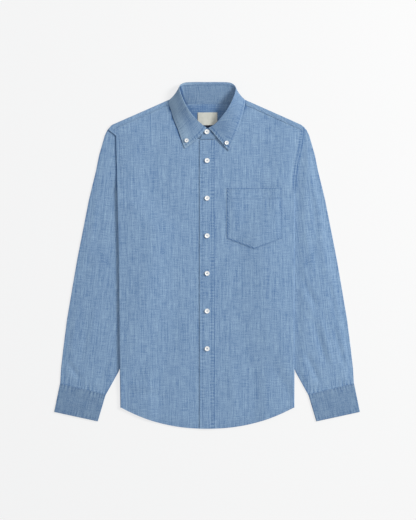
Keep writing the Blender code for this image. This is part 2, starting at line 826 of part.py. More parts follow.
def leaf_curve(row, out_of_stand, t):
    """A point of the leaf's middle, from the stand's top edge at 0 to its own edge at 1."""
    seam, top, edge = row[0:3], row[3:6], row[6:9]
    roll, reach, arch = row[9:12]
    rise = (top - seam) / np.linalg.norm(top - seam)
    first = top + out_of_stand * (STIFF_WALL + GAP)
    second = first + rise * roll
    third = edge + reach * (top - edge) * (1, 1, 0) + (0, 0, arch)
    point = (
        (1 - t) ** 3 * first
        + 3 * (1 - t) ** 2 * t * second
        + 3 * (1 - t) * t**2 * third
        + t**3 * edge
    )
    point[2] = max(point[2], LEAF_LOWEST)
    return point


def leaf_middle():
    rows = collar_rows()
    outward = np.cross(rows[:, 3:6] - rows[:, 0:3], np.gradient(rows[:, 3:6], axis=0))
    outward /= np.linalg.norm(outward, axis=1, keepdims=True)
    shares = [k / LEAF_STEPS for k in range(LEAF_STEPS + 1)]
    return np.array([[leaf_curve(row, out, t) for t in shares] for row, out in zip(rows, outward)])


def collar_leaf(finish):
    inner, outer = wall_on_middle(leaf_middle(), STIFF_WALL)
    return wall_from_grids("collar_leaf", inner, outer, finish)


# ---------------------------------------------------------------- buttons


def button(name, place, normal, radius, thickness, finish):
    """A turned disc with a raised rim, its lower face at place and square to normal."""
    profile = (
        # share of the radius, share of the thickness
        (0.80, 0.0),
        (1.00, 0.35),
        (0.96, 0.85),
        (0.84, 1.0),
        (0.66, 0.75),
    )
    around = BUTTON_SIDES
    up = Vector(normal).normalized()
    turned = Vector((0.0, 0.0, 1.0)).rotation_difference(up)
    points, faces = [], []
    for share, rise in profile:
        for k in range(around):
            a = 2 * math.pi * k / around
            local = Vector((math.cos(a) * share * radius, math.sin(a) * share * radius, 0.0))
            local.z = thickness * rise
            points.append(tuple(Vector(place) + turned @ local))
    for ring in range(len(profile) - 1):
        for k in range(around):
            a = ring * around + k
            b = ring * around + (k + 1) % around
            faces.append((a, b, b + around, a + around))
    faces.append(tuple(reversed(range(around))))
    top = (len(profile) - 1) * around
    faces.append(tuple(range(top, top + around)))
    return closed_mesh(name, points, faces, finish)


def seat_on(face, x, y):
    """A place just clear of a face of the collar over (x, y), and the face's normal."""
    flat = face.reshape(-1, 3)
    near = flat[np.argsort(np.hypot(flat[:, 0] - x, flat[:, 1] - y))[:BUTTON_SEAT_POINTS]]
    terms = np.c_[np.ones(len(near)), near[:, 0] - x, near[:, 1] - y]
    (height, slope_x, slope_y), *_ = np.linalg.lstsq(terms, near[:, 2], rcond=None)
    bulge = float((near[:, 2] - terms @ (height, slope_x, slope_y)).max())
    return (x, y, height + bulge + GAP), (-slope_x, -slope_y, 1.0)


def buttons(finish):
    on_band = on_fronts(0.0, 0.0) + WALL + GAP
    for number in range(BUTTON_COUNT):
        place = (BUTTON_LINE, BUTTON_FIRST - BUTTON_PITCH * number, on_band)
        name = f"button_{number + 1}"
        button(name, place, (0.0, 0.0, 1.0), BUTTON_RADIUS, BUTTON_THICKNESS, finish)
    stand_face = wall_on_middle(stand_middle(), STIFF_WALL)[0]
    place, normal = seat_on(stand_face[-BAND_END_ROWS:], *NECK_BUTTON)
    button("button_neck", place, normal, BUTTON_RADIUS, BUTTON_THICKNESS, finish)
    leaf_face = wall_on_middle(leaf_middle(), STIFF_WALL)[1]
    for side, (x, y) in COLLAR_BUTTONS.items():
        place, normal = seat_on(leaf_face, x, y)
        radius, thickness = COLLAR_BUTTON_RADIUS, COLLAR_BUTTON_THICKNESS
        button("button_collar_" + side, place, normal, radius, thickness, finish)


# ---------------------------------------------------------------- the shirt


def main():
    clear_scene()
    cloth = material("chambray", CLOTH_COLOUR, 0.85)
    woven = material("label_cloth", LABEL_COLOUR, 0.80)
    shell = material("button_shell", BUTTON_COLOUR, 0.35)
    back(cloth)
    yoke(cloth)
    placket(cloth)
    pocket(cloth)
    collar_stand(cloth)
    collar_leaf(cloth)
    neck_label(woven)
    for side in SIDES:
        front(side, cloth)
        sleeve(side, cloth)
        cuff(side, cloth)
    buttons(shell)


main()
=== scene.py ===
# %% [markdown]
# # A chambray shirt, laid flat
# The shirt is buttoned and lies on its back, its sides turned under and its sleeves beside it.
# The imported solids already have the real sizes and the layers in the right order. Here each
# piece of cloth gets a finer shell on its own solid's form, with soft creases, puckered seams,
# stitches, and a cloth that has slubs and a weave.

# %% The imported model
import math

import bpy
import numpy as np
from mathutils import Matrix, Vector
from mathutils.bvhtree import BVHTree


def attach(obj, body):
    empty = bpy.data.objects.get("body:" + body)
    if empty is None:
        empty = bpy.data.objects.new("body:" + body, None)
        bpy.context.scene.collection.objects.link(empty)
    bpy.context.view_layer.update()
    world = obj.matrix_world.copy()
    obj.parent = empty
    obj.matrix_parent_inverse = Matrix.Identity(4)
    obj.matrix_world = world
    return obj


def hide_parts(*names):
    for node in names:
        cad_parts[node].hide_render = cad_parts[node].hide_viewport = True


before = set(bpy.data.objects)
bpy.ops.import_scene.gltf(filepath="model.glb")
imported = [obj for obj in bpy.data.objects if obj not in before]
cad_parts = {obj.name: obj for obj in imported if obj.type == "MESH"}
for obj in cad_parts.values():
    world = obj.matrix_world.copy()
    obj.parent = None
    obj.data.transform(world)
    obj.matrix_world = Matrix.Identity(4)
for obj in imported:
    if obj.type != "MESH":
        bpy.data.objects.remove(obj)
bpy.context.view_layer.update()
MM = 0.001
MIDDLE_HEIGHT = -1.34  # the solids' heights are measured from here, in millimetres
SIDES = {"right": -1, "left": 1}


# %% [markdown]
# ## Camera and light
# The photograph looks straight down on a shirt that lies on a white surface. A camera far away
# with a long lens does that with little perspective. The light is a large soft one that comes
# in from the wearer's left, and a little from the collar's end, so each overlapping edge drops
# a soft shadow on its other side. A weaker one above and a pale world fill the shadows.

# %% Camera straight above
MM_PER_PIXEL = 2.355
PICTURE_TALL = 520  # in pixels
PICTURE_CENTRE = (2.36, -10.4)  # what the middle of the picture looks at, in millimetres
CAMERA_HEIGHT = 3.2  # in metres
SENSOR = 36.0  # along the picture's long side, in millimetres

camera_data = bpy.data.cameras.new("camera")
camera_data.sensor_width = SENSOR
camera_data.lens = SENSOR * CAMERA_HEIGHT / (PICTURE_TALL * MM_PER_PIXEL * MM)
camera = bpy.data.objects.new("camera", camera_data)
camera.location = (PICTURE_CENTRE[0] * MM, PICTURE_CENTRE[1] * MM, CAMERA_HEIGHT)
bpy.context.collection.objects.link(camera)
bpy.context.scene.camera = camera
print("lens:", round(camera_data.lens, 1), "mm")

# %% Lights and world
bpy.context.scene.view_settings.view_transform = "Standard"


def area_light(name, place, size, power, colour):
    light = bpy.data.lights.new(name, "AREA")
    light.shape = "RECTANGLE"
    light.size, light.size_y = size
    light.energy = power
    light.color = colour
    made = bpy.data.objects.new(name, light)
    made.location = place
    made.rotation_euler = (-Vector(place)).to_track_quat("-Z", "Y").to_euler()
    bpy.context.collection.objects.link(made)


area_light("key", (3.3, 1.3, 2.3), size=(1.2, 1.2), power=190.0, colour=(1.0, 0.985, 0.96))
area_light("top", (-0.3, 0.8, 3.6), size=(2.4, 2.4), power=24.0, colour=(0.96, 0.98, 1.0))

WORLD_COLOUR = (0.93, 0.96, 1.0, 1.0)
WORLD_STRENGTH = 0.50
world = bpy.data.worlds.new("studio")
bpy.context.scene.world = world
world.use_nodes = True
world.node_tree.nodes["Background"].inputs["Color"].default_value = WORLD_COLOUR
world.node_tree.nodes["Background"].inputs["Strength"].default_value = WORLD_STRENGTH
print("world strength:", WORLD_STRENGTH)


# %% Small helpers for objects
def only(target):
    """Deselects everything, then selects this object and makes it active."""
    bpy.ops.object.select_all(action="DESELECT")
    target.select_set(True)
    bpy.context.view_layer.objects.active = target


def apply_modifier(target, kind, **settings):
    """Adds a modifier, sets it and applies it."""
    only(target)
    modifier = target.modifiers.new(kind.title(), kind)
    for setting, value in settings.items():
        setattr(modifier, setting, value)
    bpy.ops.object.modifier_apply(modifier=modifier.name)

# %% [markdown]
# ## The table
# The shirt lies on a white table. A grid a hair below the shirt does for it, and it isn't part
# of the shirt. A real white table catches light from the whole room, which two lamps don't give,
# so its material also glows a little. Shadows still fall on it.

# %% The table
TABLE_SIZE = 16.0  # in metres
TABLE_DROP = 0.0006
TABLE_COLOUR = (0.16, 0.16, 0.16, 1.0)
TABLE_GLOW = 0.716

bpy.ops.object.select_all(action="DESELECT")
bpy.ops.mesh.primitive_grid_add(
    x_subdivisions=8, y_subdivisions=8, size=TABLE_SIZE, location=(0, 0, -TABLE_DROP)
)
floor = bpy.context.object
floor.name = "floor"
table_top = bpy.data.materials.new("lit_table")
table_top.use_nodes = True
shader = table_top.node_tree.nodes["Principled BSDF"]
shader.inputs["Base Color"].default_value = TABLE_COLOUR
shader.inputs["Roughness"].default_value = 0.9
shader.inputs["Emission Color"].default_value = (1.0, 1.0, 1.0, 1.0)
shader.inputs["Emission Strength"].default_value = TABLE_GLOW
floor.data.materials.append(table_top)
print("table:", TABLE_SIZE, "m wide")

# %% [markdown]
# ## Writing shaders as sums
# A small class wraps a socket, so that an expression such as `0.5 + 0.3 * slub` adds the Math
# nodes for it, and one method adds any other node. Two helpers do what every finish here ends
# with: they mix two colours, and they join a colour and a bump to the shader.


# %% The class
class Socket:
    def __init__(self, tree, output):
        self.tree = tree
        self.output = output

    def node(self, kind, settings=None, **values):
        made = self.tree.nodes.new(kind)
        for setting, value in (settings or {}).items():
            setattr(made, setting, value)
        for key, value in values.items():
            name = key.replace("_", " ")
            socket = made.inputs[int(name[1:])] if name[1:].isdigit() else made.inputs[name]
            if isinstance(value, Socket):
                self.tree.links.new(value.output, socket)
            else:
                socket.default_value = value
        return made

    def math(self, operation, first, second):
        made = self.node("ShaderNodeMath", {"operation": operation}, i0=first, i1=second)
        return Socket(self.tree, made.outputs[0])

    def __add__(self, other):
        return self.math("ADD", self, other)

    def __sub__(self, other):
        return self.math("SUBTRACT", self, other)

    def __mul__(self, other):
        return self.math("MULTIPLY", self, other)

    def __rsub__(self, other):
        return self.math("SUBTRACT", other, self)

    def out(self, made, name=0):
        return Socket(self.tree, made.outputs[name])

    __radd__ = __add__
    __rmul__ = __mul__


def new_material(name, roughness):
    made = bpy.data.materials.new(name)
    made.use_nodes = True
    shader = made.node_tree.nodes["Principled BSDF"]
    shader.inputs["Roughness"].default_value = roughness
    return made, shader, Socket(made.node_tree, None)


def mixed(start, share, low, high):
    """A colour between two: low where share is 0, high where it is 1."""
    low, high = (c if isinstance(c, Socket) else (*c, 1.0) for c in (low, high))
    made = start.node(
        "ShaderNodeMix", {"data_type": "RGBA", "clamp_factor": True}, Factor=share, i6=low, i7=high
    )
    return start.out(made, 2)


def finish_with(start, shader, colour, height, strength, distance):
    """Joins a colour, and a bump from this height, to the shader."""
    start.tree.links.new(colour.output, shader.inputs["Base Color"])
    bump = start.node(
        "ShaderNodeBump", None, Strength=strength, Distance=distance, Height=height
    )
    start.tree.links.new(bump.outputs[0], shader.inputs["Normal"])


# %% [markdown]
# ## Chambray
# Chambray is a plain weave of blue warp and white weft. Both yarns are thick and thin along
# their length, and these slubs show as light and dark streaks, longest and clearest along the
# warp. The pattern lies on a UV map in metres along the cloth's own grain, so it turns with
# each piece, and not on the object's axes, which would run it straight over sleeve and collar.
#
# A washed shirt isn't the same blue all over. Dye stays in the lines of its seams and rubs off
# where they pucker. A picture could hold that, but here each point of a sheet carries a number,
# its wear and shading: pale above 0, dark below 0, and from -1 down to -2 a painted shade as
# dark as deep in a fold. Besides the wear, this number holds painted shade and painted
# highlights: shadows beside the collar, in the neck and along folded edges, and highlights on
# edges and ridges.

# %% The cloth's material
BLUE = (0.070, 0.148, 0.296)  # where the warp hides the weft
PALE = (0.270, 0.388, 0.524)
# Colour of the painted shade deep in a fold
PAINTED_FOLD_SHADE = (0.010, 0.016, 0.034)
DEEPEST_PAINTED_SHADE = 2.0
WEAR_AND_SHADING_STRENGTH = 0.7


def stretched_noise(start, grain, across, along, detail=2.0, shift=0.0):
    """Noise on the grain with features this wide and this long, in millimetres."""
    scale = (1000.0 / across, 1000.0 / along, 1.0)
    moved = start.node(
        "ShaderNodeMapping", None, Vector=grain, Scale=scale, Location=(shift, shift, 0.0)
    )
    noise = start.node(
        "ShaderNodeTexNoise", {"noise_dimensions": "2D"},
        Vector=start.out(moved), Scale=1.0, Detail=detail,
    )
    return start.out(noise)


def chambray(name, depth=1.0, swing=1.0):
    """Woven cloth: depth darkens its colour, and swing is how much its yarns differ."""
    made, shader, start = new_material(name, 0.86)
    shader.inputs["Sheen Weight"].default_value = 0.12
    shader.inputs["Sheen Roughness"].default_value = 0.5
    shader.inputs["Specular IOR Level"].default_value = 0.18
    grain = start.out(start.node("ShaderNodeUVMap", {"uv_map": "grain"}))
    warp = stretched_noise(start, grain, across=1.8, along=26.0)
    long_warp = stretched_noise(start, grain, across=2.8, along=120.0, shift=3.1)
    weft = stretched_noise(start, grain, across=24.0, along=1.5, shift=7.7)
    cloud = stretched_noise(start, grain, across=26.0, along=34.0, shift=1.3)
    yarn = stretched_noise(start, grain, across=1.3, along=1.5, detail=1.0, shift=5.2)
    wear_and_shading = start.out(start.node("ShaderNodeAttribute", {"attribute_name": "wear_and_shading"}), "Fac")
    streaks = 0.82 * (warp - 0.5) + 0.68 * (long_warp - 0.5) + 0.76 * (weft - 0.5)
    streaks = streaks + 0.18 * (cloud - 0.5) + 1.15 * (yarn - 0.5)
    share = 0.5 + swing * streaks + WEAR_AND_SHADING_STRENGTH * wear_and_shading
    colour = mixed(start, share, [depth * k for k in BLUE], [depth * k for k in PALE])
    # Below -1 the colour goes over to the painted fold shade
    colour = mixed(start, wear_and_shading + DEEPEST_PAINTED_SHADE, PAINTED_FOLD_SHADE, colour)
    threads = 0.6 * yarn + 0.5 * warp + 0.4 * weft
    finish_with(start, shader, colour, threads, strength=0.35, distance=0.0005)
    return made


CLOTH = chambray("chambray")
COLLAR_CLOTH = chambray("chambray_collar", depth=0.90, swing=0.8)
CUFF_CLOTH = chambray("chambray_cuff", depth=0.83, swing=0.9)
print("cloth materials made")

# %% [markdown]
# ## The form under the cloth
# Everything that lies on the surface stacks up: sleeve, turned-under side, back, front. The
# same few sizes as in the solids say how high each layer is at any place, so a shell that is
# made from them sits where its solid is, and no two layers meet.

# %% Thicknesses, in millimetres
WALL = 1.0
STIFF_WALL = 1.2  # cuffs and collar have a stiff lining inside
GAP = 0.3
LAYER = WALL + GAP
TURN = LAYER / 2  # radius of the fold of the back, and of the yoke
WIDE_TURN = 3 * LAYER / 2  # of the fold of a front, which goes round the back's
print("one layer on another:", LAYER, "mm")

# %% The outline, in millimetres
NECK_HALF = 80.0
NECK_FRONT = 271.0
NECK_BACK = 355.6
SHOULDER_START = 99.0
SHOULDER_HEIGHT = 361.5
SHOULDER_SLOPE = 0.444
SHOULDER_ROUNDS = 221.0  # from here outwards the shoulder bends down to the sleeve
SHOULDER_BEND = 0.04
NECK_RISE = 2.4  # of the neck's back edge, from its middle to its sides
YOKE_FRONT_DEPTH = 12.0
YOKE_BACK_SEAM = 262.0
HEM_LOW = -408.8
HEM_RISE = 49.7
HEM_HALF = 205.0
HEM_POWER = 2.2
LOW_ROW = -340.0
BODY_EDGE = {
    # height, half width of the folded body
    "right": ((-362, 204.0), (-200, 206.5), (0, 208.5), (150, 212.0), (185, 213.0), (221, 214.0),
              (254, 215.0), (281, 215.5), (295, 234.5), (305, 237.0)),
    "left": ((-362, 205.8), (-200, 206.0), (0, 206.5), (150, 207.9), (185, 209.6), (221, 215.0),
             (254, 222.5), (285, 227.0), (305, 228.5)),
}
FLAP = ((59.0, 63.0), (120.0, 20.8), (130.0, 0.4))  # height, width of the turned-under side
FLAP_STARTS_AT = 150.0  # below here the side bends down
FLAP_TURNED_AT = 120.0  # and from here it is turned right under
FLAP_LEAD = (155.0, 195.0)  # over this stretch the layers above come down to the sleeve
SLOPE = ((-300.0, 35.0), (-150.0, 80.0))  # height, length of the slope off the layers below
SLEEVE_MARGIN = 13.0
SLEEVE_OUTER = (
    # distance from the middle, height
    (227.0, 303.0), (234.0, 295.0), (240.5, 282), (254, 235), (261, 200), (278, 130), (292, 59),
    (306, -12), (318, -82), (330, -153), (339, -224), (344, -268), (346, -303.0),
)
UNDERARM_SEAM = ((144, 59), (178, -150), (199, -250), (208, -275), (238, -329.0))
ARMHOLE = {
    "right": ((213, 310.5), (208, 297), (206, 262), (199, 150)),
    "left": ((219, 296), (214, 254), (206, 221), (198, 150)),
}
print("shoulder to hem:", round(SHOULDER_HEIGHT - HEM_LOW, 1), "mm")


# %% Heights of the layers
def ease(start, end, value):
    """0 at start, 1 at end, smooth between."""
    t = np.clip((value - start) / (end - start), 0.0, 1.0)
    return t * t * (3.0 - 2.0 * t)


def table(rows, value, key=0, read=1):
    ordered = sorted(rows, key=lambda row: row[key])
    return np.interp(value, [row[key] for row in ordered], [row[read] for row in ordered])


def body_edge(y, side):
    return table(BODY_EDGE[side], y)


def sleeve_inner(y, side):
    return table(ARMHOLE[side] + UNDERARM_SEAM, y, 1, 0)


def hem(x):
    return HEM_LOW + HEM_RISE * (np.abs(x) / HEM_HALF) ** HEM_POWER


def shoulder(x):
    across = np.abs(x)
    fold = SHOULDER_HEIGHT - (across - SHOULDER_START) * SHOULDER_SLOPE
    fold = fold - SHOULDER_BEND * np.maximum(across - SHOULDER_ROUNDS, 0.0) ** 2
    neck = NECK_BACK + NECK_RISE * np.minimum(across / NECK_HALF, 1.0) ** 6
    return neck + (fold - neck) * ease(1.0, 6.0, across - NECK_HALF)


def front_top(x):
    """The neck curve, then the seam of front and yoke."""
    across = np.abs(x)
    corner = SHOULDER_HEIGHT + (SHOULDER_START - NECK_HALF) * SHOULDER_SLOPE - YOKE_FRONT_DEPTH
    curve = 1.0 - np.sqrt(np.clip(1.0 - (across / NECK_HALF) ** 2, 0.0, 1.0))
    neck = NECK_FRONT + (corner - NECK_FRONT) * curve
    return np.where(across < NECK_HALF, neck, corner - (across - NECK_HALF) * SHOULDER_SLOPE)


def over_sleeve(x, y, side):
    """Underside of whatever lies on the sleeve, down to 0 beside it."""
    off = sleeve_inner(y, side) - SLEEVE_MARGIN - np.abs(x)
    return 2 * LAYER * (1.0 - ease(0.0, table(SLOPE, y), off))


def under_back(x, y, side):
    """Underside of the back, over the sleeve and the turned-under side."""
    off = body_edge(y, side) - table(FLAP, y) - np.abs(x)
    flap = 1.0 - ease(0.0, table(SLOPE, y), off)
    flap = flap * (1.0 - ease(*FLAP_LEAD, y))
    return over_sleeve(x, y, side) + 2 * LAYER * flap


# %% [markdown]
# ## Creases and puckers
# A pressed shirt still has long soft folds, and every stitched seam draws the cloth up into
# small uneven waves, because thread and cloth shrink by different amounts. A crease is a line
# with a width and a height that fades at both ends. A pucker is a wave along the seam whose
# length and depth change as it goes, and which dies away from the seam. Each seam is named by
# two numbers, the length of its waves and where they start, so that its form, and its wear and
# painted shade, follow the same waves.


# %% Crease and pucker
def creases(rows, x, y):
    """Height of soft ridges and troughs, each along a line."""
    total = np.zeros_like(x, dtype=float)
    for x0, y0, x1, y1, half_width, height in rows:
        run = np.array([x1 - x0, y1 - y0], float)
        length = np.linalg.norm(run)
        run /= length
        t = ((x - x0) * run[0] + (y - y0) * run[1]) / length
        aside = np.abs((x - x0) * run[1] - (y - y0) * run[0])
        ends = ease(-0.12, 0.25, t) * (1.0 - ease(0.75, 1.12, t))
        total = total + height * ends * (1.0 - ease(0.0, half_width, aside))
    return total


def wave(s, seam):
    """An uneven wave at s millimetres along a seam, given as (pitch, start)."""
    pitch, start = seam
    drift = 1.4 * np.sin(s / pitch * 0.83 + start) + 0.9 * np.sin(s / pitch * 0.31 + 2.1 * start)
    size = 0.62 + 0.38 * np.sin(s / pitch * 0.57 + 1.7 * start)
    return size * np.sin(2.0 * math.pi * s / pitch + drift)


def pucker(s, away, seam, reach, height):
    """Waves along a seam that fade within reach of it; away is the distance from it."""
    return height * wave(s, seam) * (1.0 - ease(0.0, reach, np.abs(away)))


def groove(away, half_width, depth):
    """The line of a row of stitches, pulled into the cloth."""
    return -depth * (1.0 - ease(0.0, half_width, np.abs(away)))


# %% Wear and painted shade
RIM_SHADE = 0.45


def seam_wear_and_shade(s, away, seam, reach, dark, light):
    """Wear and painted shade along a seam: dark in its line, where dye stays and the crease is
    shaded, and pale where its puckers rub.
    """
    line = -dark * (1.0 - ease(0.4, 2.0, np.abs(away)))
    return line + pucker(s, away, seam, reach, light)


def painted_rim_shade(away):
    """Painted shade along a folded or turned edge, whose last threads turn away from the light."""
    return -RIM_SHADE * (1.0 - ease(0.3, 2.6, away))


def painted_hollow_shade(points, centre, half_size, dark):
    """Painted shade of cloth deep in a fold, which little light reaches."""
    aside = [(points[..., k] - centre[k]) / half_size[k] for k in (0, 1)]
    return -dark * (1.0 - ease(0.2, 1.0, np.hypot(*aside)))


# %% [markdown]
# ## From a flat grid to a piece of cloth
# A cut piece is flat, so each shell starts as a flat grid with its UV map already on it. Every
# point is then put where the form says, closer together where there is a seam or a fold, and
# the grid is given its thickness. Its UV map is measured along the cloth in metres.


# %% Stations and lengths
def spread(*stretches):
    """Stations from one place to the next: (start, end, count) for each stretch."""
    parts = [np.linspace(a, b, count, endpoint=False) for a, b, count in stretches]
    return np.concatenate(parts + [[stretches[-1][1]]])


def run_lengths(points, axis):
    """Distance along each line of the grid, from its first point."""
    steps = np.linalg.norm(np.diff(points, axis=axis), axis=2)
    lengths = np.cumsum(steps, axis=axis)
    zero = np.zeros_like(np.take(lengths, [0], axis=axis))
    return np.concatenate([zero, lengths], axis=axis)


# %% A flat grid, and its closing
MERGED_WITHIN = 1e-6  # in metres


def flat_grid(name, rows, columns):
    """A flat grid, and the row and the column of each of its points."""
    bpy.ops.object.select_all(action="DESELECT")
    bpy.ops.mesh.primitive_grid_add(x_subdivisions=columns - 1, y_subdivisions=rows - 1, size=2)
    made = bpy.context.object
    made.name = made.data.name = name
    flat = np.empty(len(made.data.vertices) * 3)
    made.data.vertices.foreach_get("co", flat)
    flat = flat.reshape(-1, 3)
    column = np.rint((flat[:, 0] + 1.0) / 2.0 * (columns - 1)).astype(int)
    row = np.rint((flat[:, 1] + 1.0) / 2.0 * (rows - 1)).astype(int)
    return made, row, column


def close_seam(made):
    """Merges the first and last columns of a tube."""
    only(made)
    bpy.ops.object.mode_set(mode="EDIT")
    bpy.ops.mesh.select_all(action="SELECT")
    bpy.ops.mesh.remove_doubles(threshold=MERGED_WITHIN)
    bpy.ops.object.mode_set(mode="OBJECT")


def sheet_area(middle):
    """Area of a grid of points, in square metres."""
    a, b, c, d = middle[:-1, :-1], middle[:-1, 1:], middle[1:, 1:], middle[1:, :-1]
    first = np.linalg.norm(np.cross(b - a, c - a), axis=2).sum() / 2
    second = np.linalg.norm(np.cross(c - a, d - a), axis=2).sum() / 2
    return (first + second) * MM * MM


# %% The helper that makes every sheet
def cloth_sheet(name, middle, grain, wall, finish, wear_and_shading=None, closed=False, turned=False):
    """A shell of this thickness round a [row][column] grid of points, in millimetres."""
    made, row, column = flat_grid(name, *middle.shape[:2])
    mesh = made.data
    placed = (middle[row, column] - (0.0, MIDDLE_HEIGHT, 0.0)) * MM
    mesh.vertices.foreach_set("co", placed.ravel())
    corner = np.empty(len(mesh.loops), int)
    mesh.loops.foreach_get("vertex_index", corner)
    uv = grain[row, column][corner] * MM
    mesh.uv_layers[0].name = "grain"
    mesh.uv_layers["grain"].data.foreach_set("uv", uv.ravel())
    if wear_and_shading is not None:
        tone = mesh.attributes.new("wear_and_shading", "FLOAT", "POINT")
        tone.data.foreach_set("value", wear_and_shading[row, column])
    if turned:
        mesh.flip_normals()
    if closed:
        close_seam(made)
    apply_modifier(made, "SOLIDIFY", thickness=wall * MM, offset=0.0, use_rim=True)
    mesh.materials.append(finish)
    only(made)
    bpy.ops.object.shade_smooth_by_angle(angle=math.radians(50))
    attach(made, "root")
    cut = np.ptp(grain.reshape(-1, 2), axis=0).round()
    print(name, "cut", cut, "mm, area", round(sheet_area(middle), 4), "m2")
    print(name, len(mesh.polygons), "faces")
    return made


# %% [markdown]
# ## The fronts
# Each front runs from under the band, over the chest and round the side, where it turns under
# with the back inside it. Its rows are 2.5 mm apart, enough for the puckers along the seams,
# and its columns are closest at the fold, where the cloth bends most.

# %% Rows and columns of the body panels
FOLD_STEPS = 8
FLAP_STEPS = 8
BODY_ROWS = spread((0.0, 0.09, 26), (0.09, 0.91, 236), (0.91, 1.0, 40))
MID_SHARES = spread((0.14, 0.34, 10), (0.34, 0.90, 22), (0.90, 1.0, 9))
SETTLING_ROUNDS = 40  # passes to find where a column meets the top edge
LEAST_TURN = 0.04  # share of its half turn that the side keeps above the turned-under part
FLAT_FROM = 0.96  # share of the half width from which the loft dies away to the fold
print("body panels:", len(BODY_ROWS), "rows")


def column_top(share, side, top_of):
    """Height at which a column of the body meets its top edge."""
    top = YOKE_BACK_SEAM
    for _ in range(SETTLING_ROUNDS):
        top = top_of(share * body_edge(top, side))
    return top


def column_heights(share, top):
    """Heights up a column of the body, from the hem to its top."""
    bottom = hem(share * HEM_HALF)
    return np.interp(
        BODY_ROWS, (0.0, 0.09, 0.91, 1.0), (bottom, LOW_ROW, YOKE_BACK_SEAM, top)
    )


# %% Points of half a body panel
def panel_points(side, first, radius, level, top_of, lift):
    """[row][column] points and grain of half a body panel, out to its side and under."""
    sign = SIDES[side]
    points, grain = [], []

    def add_column(across, y, z, along):
        points.append(np.stack([sign * across, y, z], axis=1))
        grain.append(np.stack([sign * along, y], axis=1))

    for share in np.concatenate([first, MID_SHARES]):
        y = column_heights(share, column_top(share, side, top_of))
        across = share * (body_edge(y, side) - WALL / 2 - WIDE_TURN)
        z = under_back(across, y, side) + level + WALL / 2
        z = z + lift(sign * across, y) * (1.0 - ease(FLAT_FROM, 1.0, share))
        add_column(across, y, z, across)
    y = column_heights(1.0, column_top(1.0, side, top_of))
    bent = (FLAP_STARTS_AT - y) / (FLAP_STARTS_AT - FLAP_TURNED_AT)
    angle = math.pi * np.clip(bent, LEAST_TURN, 1.0)
    edge = body_edge(y, side) - WALL / 2 - WIDE_TURN
    crest = under_back(edge, y, side) + level + WALL / 2
    for k in range(1, FOLD_STEPS + 1):
        a = angle * k / FOLD_STEPS
        across = edge + radius * np.sin(a)
        z = crest - radius * (1.0 - np.cos(a))
        add_column(across, y, z, edge + radius * a)
    settled = over_sleeve(across, y, side)
    for k in range(1, FLAP_STEPS + 1):
        s = table(FLAP, y) * k / FLAP_STEPS
        x = across + s * np.cos(angle)
        low = np.maximum(z - s * np.sin(angle) + over_sleeve(x, y, side) - settled, WALL / 2)
        add_column(x, y, low, edge + radius * angle + s)
    return np.stack(points, axis=1), np.stack(grain, axis=1)


# %% Folds and puckers of the fronts
FRONT_CREASES = {
    # start x, start y, end x, end y, half width, height
    "right": (
        (-190, 202, -140, 242, 16, -0.55),
        (-168, 172, -96, 226, 22, 0.5),
        (-120, 60, -150, -120, 30, 0.45),
        (-60, -60, -84, -260, 26, -0.4),
        (-188, -323, -100, -332, 13, -0.5),
        (-185, -304, -110, -312, 12, 0.45),
        (-100, 306, -150, 262, 20, 0.4),
    ),
    "left": (
        (80, -40, 110, -200, 30, 0.45),
        (150, -120, 172, -300, 24, -0.4),
        (52, -250, 70, -380, 18, 0.4),
        (120, 240, 165, 190, 22, -0.4),
        (100, 300, 150, 262, 20, 0.45),
    ),
}
BAND_FREE_EDGE = -17.2
BAND_SEAM_EDGE = 17.7
BAND_STITCH = 6.6  # from each edge of the band
ARMHOLE_STITCH = 10.0
HEM_STITCH = 6.0
LOFT = 0.8  # air under the middle of each front
ARMHOLE_STARTS = (140.0, 165.0)  # heights over which the armhole seam comes into sight
TOP_STITCH_DIP = 0.16
FRONT_START = {"right": 0.7, "left": 2.9}
FRONT_SEAMS = {
    # length and start of the waves along each seam
    side: {
        "band": (7.4, start), "hem": (8.2, start + 1.0),
        "top": (6.8, start + 2.0), "armhole": (7.0, start + 3.0),
    }
    for side, start in FRONT_START.items()
}


def front_lift(side):
    """Loft, creases and puckers of one front, by place."""
    seams = FRONT_SEAMS[side]
    band_edge = -BAND_FREE_EDGE if side == "right" else BAND_SEAM_EDGE

    def lift(x, y):
        across = np.abs(x)
        away_top, away_hem = front_top(x) - y, y - hem(x)
        away_side = body_edge(y, side) - across
        loft = LOFT * ease(20.0, 70.0, across) * ease(0.0, 45.0, away_side)
        loft = loft * ease(0.0, 30.0, away_top) * ease(0.0, 25.0, away_hem)
        total = loft + creases(FRONT_CREASES[side], x, y)
        total = total + pucker(y, across - band_edge, seams["band"], 11.0, 0.20)
        total = total + pucker(x, away_hem - HEM_STITCH, seams["hem"], 9.0, 0.22)
        total = total + groove(away_hem - HEM_STITCH, 1.6, TOP_STITCH_DIP)
        total = total + pucker(x, away_top, seams["top"], 8.0, 0.16)
        high = ease(*ARMHOLE_STARTS, y)
        from_row = away_side - ARMHOLE_STITCH
        total = total + high * pucker(y, from_row, seams["armhole"], 9.0, 0.28)
        return total + high * groove(from_row, 1.6, TOP_STITCH_DIP)

    return lift


# %% [markdown]
# ## What light doesn't reach
# Beside the edge of the collar leaf, a thin line of each front lies in deep shade. One large
# soft light doesn't get that dark there, so a painted shadow line is added to the cloth's wear
# and shading, along the edge that throws it.

